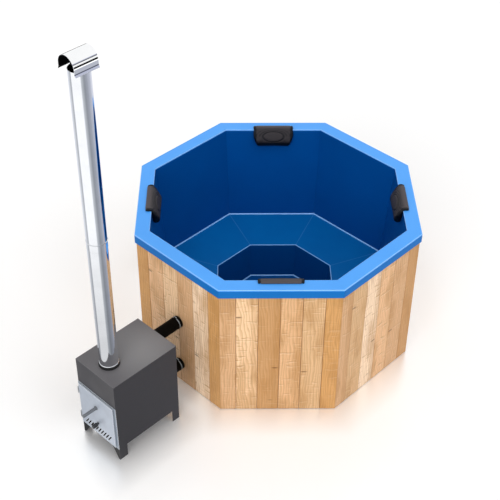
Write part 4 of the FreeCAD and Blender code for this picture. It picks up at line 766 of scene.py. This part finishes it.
def pillow_skin(sizes):
    """Finished skin in pillow coordinates: form, even mesh, filling, one division, then panel and creases."""
    form = pillow_form(sizes)
    mesh = bpy.data.meshes.new("pillow_form")
    mesh.from_pydata(form.reshape(-1, 3).tolist(), [], grid_faces(*form.shape[:2], wrap_columns=True).tolist())
    evened = with_modifier(mesh, "REMESH", mode="VOXEL", voxel_size=sizes.voxel)
    points = inflate(evened.copy(), sizes)
    evened.vertices.foreach_set("co", keep_clear(points, sizes).astype(np.float32).ravel())
    evened.update()
    skin = with_modifier(evened, "SUBSURF", levels=1, render_levels=1)
    points = vertex_vectors(skin)
    rise, shade = pillow_details(points, sizes)
    points = keep_clear(points + vertex_vectors(skin, "normal") * rise[:, None], sizes)
    corners = np.empty(len(skin.loops), dtype=np.int32)
    skin.loops.foreach_get("vertex_index", corners)
    return points, corners.reshape(-1, 4), shade


def make_pillows(sizes, colours):
    """Four pillows: the same skin, set at the rim's inner edge and turned to its wall about the tub's axis."""
    points, faces, shade = pillow_skin(sizes)
    finish = grained_vinyl("calendered_vinyl", colours.pillow, colours.pillow_end)
    at_wall = points + np.array([0.0, sizes.liner_wall - LINER_HIGH.x, RIM_HIGH])
    for face in PILLOW_FACES:
        turn = np.array(Matrix.Rotation(FACES.index(face) * FACE_TURN, 3, "Z"))
        piece = new_piece("soft_pillow_" + face, at_wall @ turn.T, faces, finish, "root")
        shaded = piece.data.attributes.new("shaded", "FLOAT", "POINT")
        shaded.data.foreach_set("value", shade.astype(np.float32))
        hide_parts("pillow_" + face)


SEAL_WIDE, SEAL_ROUND = 7 * MM, 18 * MM
SEAL_STEPS, SEAL_SECTION = 10, 14


def make_rope_seal(colours):
    """Rope in the door's fold: an oval carried round a rectangle whose corners are quarter circles."""
    low, high = np.array(SEAL[0]), np.array(SEAL[1])
    half = (high - low) / 2 - SEAL_WIDE / 2
    middle = (high + low) / 2
    turn = np.linspace(0, np.pi / 2, SEAL_STEPS)
    corner = np.stack([np.cos(turn), np.sin(turn)], axis=-1)
    path, outward = [], []
    for quarter in range(4):
        spin = np.array(Matrix.Rotation(quarter * math.pi / 2, 2))
        centre = np.sign(spin @ np.ones(2)) * (half[[0, 2]] - SEAL_ROUND)
        path.append(centre + corner @ spin.T * SEAL_ROUND)
        outward.append(corner @ spin.T)
    path, outward = np.concatenate(path), np.concatenate(outward)
    angle = np.linspace(0, 2 * np.pi, SEAL_SECTION, endpoint=False)
    thick = (high - low)[1] / 2
    radial = np.cos(angle)[None, :, None] * outward[:, None, :] * SEAL_WIDE / 2 + path[:, None, :]
    level = np.broadcast_to(np.sin(angle) * thick, radial.shape[:2])
    points = np.stack([radial[..., 0] + middle[0], level + middle[1], radial[..., 1] + middle[2]], axis=-1)
    faces = grid_faces(len(path), SEAL_SECTION, wrap_rows=True, wrap_columns=True)
    finish = glass_rope("braided_glass_rope", colours.rope, colours.soot)
    piece = new_piece("rope_seal", points.reshape(-1, 3), faces, finish, "door")
    steps = np.linalg.norm(np.roll(path, -1, axis=0) - path, axis=1)
    run = np.concatenate([[0.0], np.cumsum(steps)])
    girth = np.arange(SEAL_SECTION + 1) * math.pi * SEAL_WIDE / SEAL_SECTION
    row, column = np.divmod(np.arange(len(faces)), SEAL_SECTION)
    corners = ((0, 0), (0, 1), (1, 1), (1, 0))
    uv = np.stack([np.stack([run[row + r], girth[column + c]], axis=-1) for r, c in corners], axis=1)
    layer = piece.data.uv_layers.new(name="UVMap")
    layer.data.foreach_set("uv", uv.astype(np.float32).ravel())
    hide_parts("door_seal")


SCREW_ACROSS, SCREW_HEAD, SCREW_SHANK, SCREW_LONG = 7 * MM, 5 * MM, 2.4 * MM, 22 * MM
SCREW_UP_SHARE, CHAMFER_SHARE = 0.55, 0.86
HEX = 6


def make_clamp_screws(finish):
    """Hexagon screws across the clamps' housings: rings of six points carried along X, closed at both ends."""
    head, shank = SCREW_ACROSS / math.sqrt(3), SCREW_SHANK
    radii = np.array([0, head * CHAMFER_SHARE, head, head, shank, shank, 0])
    runs = np.array([-SCREW_HEAD, -SCREW_HEAD, -SCREW_HEAD * CHAMFER_SHARE, 0, 0, SCREW_LONG, SCREW_LONG])
    angle = np.arange(HEX) * 2 * np.pi / HEX
    ring = np.stack([np.zeros(HEX), np.cos(angle), np.sin(angle)], axis=-1)
    shape = radii[:, None, None] * ring[None] + (runs - SCREW_LONG / 2)[:, None, None] * np.array([1.0, 0.0, 0.0])
    faces = grid_faces(len(radii), HEX, wrap_columns=True)
    housing = CLAMPS[1].z - UPPER_HOSE[1].z
    ends = (CLAMPS[0].y + CLAMP_WIDE / 2, CLAMPS[1].y - CLAMP_WIDE / 2)
    spots = [np.array([0.0, end, hose[1].z + housing * SCREW_UP_SHARE])
             for hose in (UPPER_HOSE, LOWER_HOSE) for end in ends]
    points = np.concatenate([shape.reshape(-1, 3) + spot for spot in spots])
    every = np.concatenate([faces + number * len(radii) * HEX for number in range(len(spots))])
    piece = new_piece("clamp_screws", points, every, finish, "root")
    piece.data.polygons.foreach_set("use_smooth", np.zeros(len(every), dtype=bool))


PIPE_ROUND = 120 * MM
RING_PROFILE_SHARES = ((0.0, 0.0), (1.0, 0.0), (1.0, 0.45), (0.72, 0.85), (0.35, 1.0), (0.0, 1.0))
RING_STEPS = 96


def make_flue_ring(finish, sizes):
    """Pressed trim ring where the pipe leaves its collar: a rounded strip's profile turned about the pipe's axis."""
    shares = np.array(RING_PROFILE_SHARES)
    out = PIPE_ROUND / 2 + sizes.play + shares[:, 0] * sizes.ring_wide
    up = COLLAR_HIGH + shares[:, 1] * sizes.ring_tall
    angle = np.linspace(0, 2 * np.pi, RING_STEPS, endpoint=False)
    points = np.stack([
        PIPE_MIDDLE.x + np.cos(angle)[:, None] * out, PIPE_MIDDLE.y + np.sin(angle)[:, None] * out,
        np.broadcast_to(up, (RING_STEPS, len(up)))], axis=-1)
    faces = grid_faces(RING_STEPS, len(out), wrap_rows=True, wrap_columns=True)[:, ::-1]
    new_piece("flue_ring", points.reshape(-1, 3), faces, finish, "root")


class HOTTUB_OT_liner(bpy.types.Operator):
    """Plastic of the rim, liner, bench and footwell, with their weld beads"""
    bl_idname = "hot_tub.liner"
    bl_label = "Finish the liner"

    def execute(self, context):
        hues = context.scene.hot_tub_colours
        # One blue plastic in five colours: painted light on the rim, painted shade on the apron, walls and footwell.
        for name, shades, more, nodes in (
                ("rim", (hues.rim, hues.rim_shade, hues.rim_highlight_and_weld_ripple), {"edge_highlight": 0.85, "specular": 0.5}, ["rim_top"]),
                ("apron", (hues.apron, hues.apron_shade, hues.apron), {"specular": 0.12}, ["rim_apron"]),
                ("walls", (hues.wall, hues.wall_shade, hues.wall), {}, ["liner_walls", "bench_ribs"]),
                ("bench", (hues.bench, hues.bench_shade, hues.weld), {"mitred": 0.16}, ["bench_top"]),
                ("well", (hues.footwell, hues.wall_shade, hues.wall), {}, ["footwell_walls", "tub_floor"])):
            dress(polypropylene_sheet("extruded_polypropylene_" + name, *shades, **more), *nodes)
        dress(weld_bead("extruded_polypropylene_weld", hues.weld, hues.rim_highlight_and_weld_ripple), "weld_beads")
        return {"FINISHED"}


class HOTTUB_OT_cladding(bpy.types.Operator):
    """Timber of the eight clad faces and of the frame behind them"""
    bl_idname = "hot_tub.cladding"
    bl_label = "Finish the timber"

    def execute(self, context):
        wood = context.scene.hot_tub_wood
        for number, face in enumerate(FACES):
            tones = [getattr(wood, tone) for tone in BOARD_TONES[face]]
            dress(oiled_spruce("planed_oiled_spruce_" + face, tones, wood, number * FACE_TURN, number * BOARD_SEED),
                  "cladding_" + face)
        dress(sawn_spruce("band_sawn_spruce", wood.frame, wood.late), "corner_posts", "frame_rails", "base_joists")
        return {"FINISHED"}


class HOTTUB_OT_pillows(bpy.types.Operator):
    """Four padded neck pillows hooked over the rim"""
    bl_idname = "hot_tub.pillows"
    bl_label = "Make the pillows"

    def execute(self, context):
        make_pillows(context.scene.hot_tub_pillow, context.scene.hot_tub_colours)
        return {"FINISHED"}


class HOTTUB_OT_stove(bpy.types.Operator):
    """Painted casing, sooted firebox, cast grate and ash pan"""
    bl_idname = "hot_tub.stove"
    bl_label = "Finish the stove"

    def execute(self, context):
        stove = context.scene.hot_tub_stove
        paint = "sprayed_heat_proof_paint"
        # Painted light on the top paint, painted shade on the side paint and on the legs' foot paint.
        dress(stove_paint(paint, stove.paint, stove.paint_worn, (0.36, 0.48)),
              "stove_back", "stove_bottom", "stove_front")
        dress(stove_paint(paint + "_top", stove.paint_top, stove.paint_worn, (0.36, 0.48), stove.paint_faded),
              "stove_top")
        dress(stove_paint(paint + "_sides", stove.paint_side, stove.paint, (0.48, 0.60)),
              "stove_side_left", "stove_side_right")
        dress(stove_paint(paint + "_feet", stove.paint_foot, stove.paint_side, (0.50, 0.65)),
              "leg_flanges", "flue_collar")
        # Rolled plate under soot: dull black with scaly patches.
        dress(bare_metal("sooted_rolled_steel", stove.soot, stove.iron, stained=0.6, metallic=0.3, roughness=0.75,
                         grain_mm=6, relief_mm=0.4), "firebox_walls")
        # Sand-cast iron: rough grey skin.
        dress(bare_metal("sand_cast_iron", stove.iron, stove.soot, stained=0.5, metallic=0.7, roughness=0.6,
                         grain_mm=2.5, relief_mm=0.6), "fire_grate")
        # Pressed sheet: smooth, stained by ash.
        dress(bare_metal("pressed_sheet_steel", stove.ash, stove.soot, stained=0.6, metallic=0.8, roughness=0.5,
                         grain_mm=4, relief_mm=0.1), "ash_pan")
        return {"FINISHED"}


class HOTTUB_OT_door(bpy.types.Operator):
    """Satin door with its frame, hinges, handle, air slide and rope seal"""
    bl_idname = "hot_tub.door"
    bl_label = "Finish the door"

    def execute(self, context):
        stove = context.scene.hot_tub_stove
        # Satin sheet, brushed level: soft grey sheen with fine streaks along X.
        # Door, guides and frame take a painted highlight along their bevelled edges.
        brushed = partial(bare_metal, stain=stove.door_stain, metallic=0.35, roughness=0.45, grain_mm=4,
                          relief_mm=0.04, stretch=(0.04, 1, 1), edge_tint=stove.door_edge_highlight)
        dress(brushed("brushed_sheet_steel", stove.door, stained=0.5, edge_mm=4), "stove_door", "slide_guides")
        dress(brushed("brushed_frame_steel", stove.door_frame, stained=0.3, edge_mm=3), "door_frame")
        dress(stove_paint("powder_coated_rod", stove.handle, stove.paint_worn, (0.30, 0.42)), "door_handle")
        dress(stove_paint("powder_coated_slide", stove.knob, stove.ash, (0.40, 0.55)), "air_knob", "air_slide")
        # Turned steel: bright, with fine rings round the pin.
        dress(bare_metal("turned_steel", stove.zinc, stove.ash, stained=0.4, metallic=1.0, roughness=0.35, grain_mm=2,
                         relief_mm=0.05, stretch=(0.1, 0.1, 1)),
              "hinge_frame_knuckles", "hinge_door_knuckles", "hinge_pins")
        make_rope_seal(stove)
        return {"FINISHED"}


class HOTTUB_OT_chimney(bpy.types.Operator):
    """Bright stainless pipes, trim ring, cap and straps"""
    bl_idname = "hot_tub.chimney"
    bl_label = "Finish the chimney"

    def execute(self, context):
        stove = context.scene.hot_tub_stove
        bright = partial(bare_metal, stain=stove.zinc, metallic=1.0, roughness=0.07, grain_mm=5, relief_mm=0.01)
        # Bright-rolled stainless tube: near mirror, with faint draw lines along the pipe.
        tube = bright("bright_rolled_stainless", stove.stainless, stained=0.3, stretch=(1, 1, 0.02))
        dress(tube, "chimney_lower", "chimney_upper", "cap_straps")
        # The same sheet, folded on a brake and painted lighter than the pipes as painted light, with painted shade
        # under its vault and along its folds.
        dress(bright("folded_bright_stainless", stove.cap, stained=0.1, edge_mm=2, soot=stove.flue_soot,
                     grime=stove.fold_grime), "chimney_cap")
        make_flue_ring(tube, context.scene.hot_tub_trim)
        return {"FINISHED"}


class HOTTUB_OT_water_line(bpy.types.Operator):
    """Rubber hoses, clamps with their screws, and the fittings through the tub"""
    bl_idname = "hot_tub.water_line"
    bl_label = "Finish the water line"

    def execute(self, context):
        stove, hues = context.scene.hot_tub_stove, context.scene.hot_tub_colours
        # Extruded rubber: almost black, dull, chalked in patches.
        dress(moulded("extruded_rubber", stove.rubber, stove.rubber_worn, 0.55, specular=0.05),
              "upper_hose", "lower_hose")
        # The clamps' dark lips are painted shade.
        dress(band_with_shaded_lips("zinc_plated_rubber_lined_band", stove.band, stove.ash, stove.rubber), "hose_clamps")
        # Zinc-plated screw: grey-blue and smooth.
        make_clamp_screws(bare_metal("zinc_plated_screw", stove.band, stove.ash, stained=0.15, metallic=0.5,
                                     roughness=0.35, grain_mm=3, relief_mm=0.05))
        # Drawn tube: bright, with fine lines along it.
        dress(bare_metal("drawn_stainless_tube", stove.zinc, stove.ash, stained=0.2, metallic=1.0, roughness=0.30,
                         grain_mm=3, relief_mm=0.05, stretch=(1, 0.05, 1)),
              "stove_ports", "tub_port_upper", "tub_port_lower", "port_nuts")
        dress(moulded("injection_moulded_cover", hues.fitting, hues.fitting_shade, 0.42), "port_grilles")
        return {"FINISHED"}


class HOTTUB_OT_drain(bpy.types.Operator):
    """Floor drain, pipe, brass valve and its dipped lever"""
    bl_idname = "hot_tub.drain"
    bl_label = "Finish the drain"

    def execute(self, context):
        stove, hues = context.scene.hot_tub_stove, context.scene.hot_tub_colours
        dress(moulded("injection_moulded_drain", hues.fitting, hues.fitting_shade, 0.45), "floor_drain", "drain_pipe")
        # Sand-cast brass: yellow, grainy, tarnished in patches.
        dress(bare_metal("sand_cast_brass", hues.brass, stove.ash, stained=0.15, metallic=1.0, roughness=0.32,
                         grain_mm=2.5, relief_mm=0.1), "drain_valve")
        dress(moulded("dip_moulded_vinyl", hues.lever, hues.lever_shade, 0.35, grain_mm=4, relief_mm=0.15),
              "valve_lever")
        return {"FINISHED"}


FLOOR_HALF = 60.0
FLOOR_WHITE = (0.97, 0.97, 0.97, 1.0)
POLISH_NEAR, POLISH_FAR, POLISH_REACH, POLISH_ROUGH = 0.60, 0.07, 240 * MM, 0.28
TUB_HALF = 915 * MM
# How bright reflections see the floor close to the chimney and further off, and between which distances it changes.
GLOW_NEAR, GLOW_FAR, GLOW_REACH = 1.25 * 0.66, 1.25, (0.9, 2.3)
FLOOR_LIFT = 0.05

# What bright metal sees of the floor: soft boxes and dark gaps by their bearing about the chimney, from -X round by -Y.
FLOOR_BANDS = (
    (0.0, "#E2E4E8"), (0.135, "#A5A8AE"), (0.145, "#FFFFFF"), (0.40, "#FFFFFF"), (0.42, "#C4C7CC"),
    (0.50, "#8F9399"), (0.60, "#A6A9B4"), (0.70, "#BFC2CE"), (0.76, "#DADCE4"),
)
# Further off it sees white, then two dark screens that stand far out, by the same bearing.
FAR_WHITE, FAR_SCREEN = (5.4, 6.1), (8.6, 9.3)
FAR_BANDS = (
    (0.0, "#FFFFFF"), (0.53, "#FFFFFF"), (0.54, "#000000"), (0.64, "#000000"), (0.65, "#FFFFFF"),
    (0.89, "#FFFFFF"), (0.90, "#000000"), (0.93, "#000000"), (0.94, "#FFFFFF"),
)
# Overhead it sees white with one grey strip along Y, by degrees up from +X out of half a turn.
SKY_SPAN = 180
SKY_BANDS = (
    (0, "#FFFFFF"), (13, "#FFFFFF"), (14.5, "#464648"), (20.5, "#464648"), (22.5, "#B8BCD0"), (27, "#C4C8DA"),
    (30, "#FFFFFF"),
)


def band_stops(bands, whole=1):
    """Stops of a ramp from places out of a whole and sRGB hex values."""
    return [(place / whole, linear(code)) for place, code in bands]


def make_floor():
    """Pale floor: a square of matt white, polished near the tub and the stove, with bands in metal's reflections.

    The camera sees it a little lighter than it is.

    The distance to the tub is the largest of |x|, |y| and (|x| + |y|) / sqrt 2, less half its width. The distance to
    the stove is the larger of its two distances past the stove's box. The smaller distance sets the polish.
    """
    corners = np.array([[-1, -1, 0], [1, -1, 0], [1, 1, 0], [-1, 1, 0]]) * FLOOR_HALF
    mesh = bpy.data.meshes.new("floor")
    mesh.from_pydata(corners.tolist(), [], [(0, 1, 2, 3)])
    floor = bpy.data.objects.new("floor", mesh)
    bpy.context.scene.collection.objects.link(floor)
    finish, add, spot = new_finish("pale_floor")
    low, high = STOVE
    from_stove = add("VectorMath.SUBTRACT", spot, tuple((low + high) / 2))
    gaps = []
    for away, half in ((spot, (0, 0, 0)), (from_stove, tuple((high - low) / 2))):
        past = add("VectorMath.SUBTRACT", add("VectorMath.ABSOLUTE", away), half)
        gaps.append(add("SeparateXYZ", past, out=("X", "Y")))
    corner = add("Math.MULTIPLY", add("Math.ADD", *gaps[0]), math.sqrt(0.5))
    tub = add("Math.SUBTRACT", add("Math.MAXIMUM", add("Math.MAXIMUM", *gaps[0]), corner), TUB_HALF)
    nearest = add("Math.MINIMUM", tub, add("Math.MAXIMUM", *gaps[1]))
    polish = add("MapRange", nearest, 0, POLISH_REACH, POLISH_NEAR, POLISH_FAR)
    matt = add("BsdfDiffuse", Color=FLOOR_WHITE)
    plain = add("MixShader", polish, matt, add("BsdfGlossy", Color=WHITE, Roughness=POLISH_ROUGH))

    from_pipe = add("VectorMath.SUBTRACT", spot, tuple(PIPE_MIDDLE))
    x, y = add("SeparateXYZ", from_pipe, out=("X", "Y"))
    bearing = add("MapRange", add("Math.ARCTAN2", y, x), -math.pi, math.pi)
    near, far = [add("ValToRGB", bearing, stops=band_stops(bands)) for bands in (FLOOR_BANDS, FAR_BANDS)]
    away = add("VectorMath.LENGTH", add("VectorMath.MULTIPLY", from_pipe, (1, 1, 0)))
    bands = layered(
        add, near, (add("MapRange", away, *FAR_WHITE), WHITE), (add("MapRange", away, *FAR_SCREEN), far))
    glow = add("Emission", Color=bands, Strength=add("MapRange", away, *GLOW_REACH, GLOW_NEAR, GLOW_FAR))
    seen, mirrored = add("LightPath", out=("Is Camera Ray", "Is Glossy Ray"))
    lift = add("Emission", Strength=add("Math.MULTIPLY", seen, FLOOR_LIFT))
    add("OutputMaterial", add("MixShader", mirrored, add("AddShader", plain, lift), glow))
    mesh.materials.append(finish)


def make_world(strength):
    """Soft light from all round, plain white for the camera and glass, and white with a strip for reflections."""
    world = bpy.data.worlds.new("studio")
    bpy.context.scene.world = world
    world.use_nodes = True
    world.node_tree.nodes.clear()
    add = partial(add_node, world.node_tree)
    seen, mirrored, through = add("LightPath", out=("Is Camera Ray", "Is Glossy Ray", "Is Transmission Ray"))
    shown = add("Math.MAXIMUM", add("Math.MAXIMUM", seen, mirrored), through)
    x, z = add("SeparateXYZ", add("TexCoord", out="Generated"), out=("X", "Z"))
    height = add("MapRange", add("Math.ARCTAN2", z, x), 0, math.pi)
    strip = add("ValToRGB", height, stops=band_stops(SKY_BANDS, SKY_SPAN))
    add("OutputWorld", add("Background", Color=layered(add, WHITE, (mirrored, strip)),
                           Strength=add("MapRange", shown, To_Min=strength, To_Max=1)))


LAMP_WIDE = math.radians(40)
LAMPS = {"key": (1.0, 0.2, 0.75), "top": (0.20, -0.25, 1.0), "fill": (0.38, -0.92, 0.5)}


def make_lamp(name, towards, share):
    """Wide far lamp that gives a white surface facing it this share of full light, out of sight in reflections."""
    lamp = bpy.data.lights.new(name, "SUN")
    lamp.energy = share * math.pi
    lamp.angle = LAMP_WIDE
    holder = bpy.data.objects.new(name, lamp)
    holder.rotation_euler = Vector(towards).to_track_quat("Z", "Y").to_euler()
    holder.visible_glossy = False
    bpy.context.scene.collection.objects.link(holder)


SENSOR_WIDE_MM = 36.0
SIGHT_END = 200.0


def make_camera(stage):
    """Camera at its place, its axes from heading, fall and roll."""
    yaw, pitch, roll = stage.yaw, stage.pitch, stage.roll
    ahead = Vector((math.sin(yaw) * math.cos(pitch), math.cos(yaw) * math.cos(pitch), -math.sin(pitch)))
    right = Vector((math.cos(yaw), -math.sin(yaw), 0.0))
    up = right.cross(ahead)
    rolled = math.cos(roll) * right + math.sin(roll) * up
    upright = -math.sin(roll) * right + math.cos(roll) * up
    lens = bpy.data.cameras.new("camera")
    lens.lens = stage.lens
    lens.sensor_width = SENSOR_WIDE_MM
    lens.clip_end = SIGHT_END
    holder = bpy.data.objects.new("camera", lens)
    axes = Matrix((rolled, upright, -ahead)).transposed()
    holder.matrix_world = Matrix.Translation(stage.camera) @ axes.to_4x4()
    bpy.context.scene.collection.objects.link(holder)
    bpy.context.scene.camera = holder


class HOTTUB_OT_stage(bpy.types.Operator):
    """Pale floor, soft lamps, white surroundings and the camera"""
    bl_idname = "hot_tub.stage"
    bl_label = "Set the stage"

    def execute(self, context):
        stage = context.scene.hot_tub_stage
        context.scene.view_settings.view_transform = "Standard"
        make_floor()
        make_world(stage.world)
        for name, towards in LAMPS.items():
            make_lamp(name + "_lamp", towards, getattr(stage, name))
        make_camera(stage)
        return {"FINISHED"}


OPERATORS = (
    HOTTUB_OT_liner, HOTTUB_OT_cladding, HOTTUB_OT_pillows, HOTTUB_OT_stove, HOTTUB_OT_door,
    HOTTUB_OT_chimney, HOTTUB_OT_water_line, HOTTUB_OT_drain, HOTTUB_OT_stage,
)
GROUPS = {
    "hot_tub_colours": TubColours, "hot_tub_wood": WoodColours, "hot_tub_stove": StoveColours,
    "hot_tub_pillow": PillowSizes, "hot_tub_trim": TrimSizes, "hot_tub_stage": StageSettings,
}


class HOTTUB_PT_panel(bpy.types.Panel):
    """Steps that dress the hot tub, in order"""
    bl_idname = "HOTTUB_PT_panel"
    bl_label = "Hot tub"
    bl_space_type = "VIEW_3D"
    bl_region_type = "UI"
    bl_category = "Hot tub"

    def draw(self, context):
        for operator in OPERATORS:
            self.layout.operator(operator.bl_idname)
        for name, kind in GROUPS.items():
            box = self.layout.box()
            box.label(text=kind.__doc__)
            for prop in kind.__annotations__:
                box.prop(getattr(context.scene, name), prop)


CLASSES = tuple(GROUPS.values()) + OPERATORS + (HOTTUB_PT_panel,)


def register():
    """Registers the classes and hangs the settings on the scene."""
    for kind in CLASSES:
        bpy.utils.register_class(kind)
    for name, kind in GROUPS.items():
        setattr(bpy.types.Scene, name, bpy.props.PointerProperty(type=kind))


def unregister():
    """Takes the settings and classes away again."""
    for name in GROUPS:
        delattr(bpy.types.Scene, name)
    for kind in reversed(CLASSES):
        bpy.utils.unregister_class(kind)


def main():
    """Dresses the part step by step."""
    register()
    bpy.ops.hot_tub.liner()
    bpy.ops.hot_tub.cladding()
    bpy.ops.hot_tub.pillows()
    bpy.ops.hot_tub.stove()
    bpy.ops.hot_tub.door()
    bpy.ops.hot_tub.chimney()
    bpy.ops.hot_tub.water_line()
    bpy.ops.hot_tub.drain()
    bpy.ops.hot_tub.stage()


if __name__ == "__main__":
    main()
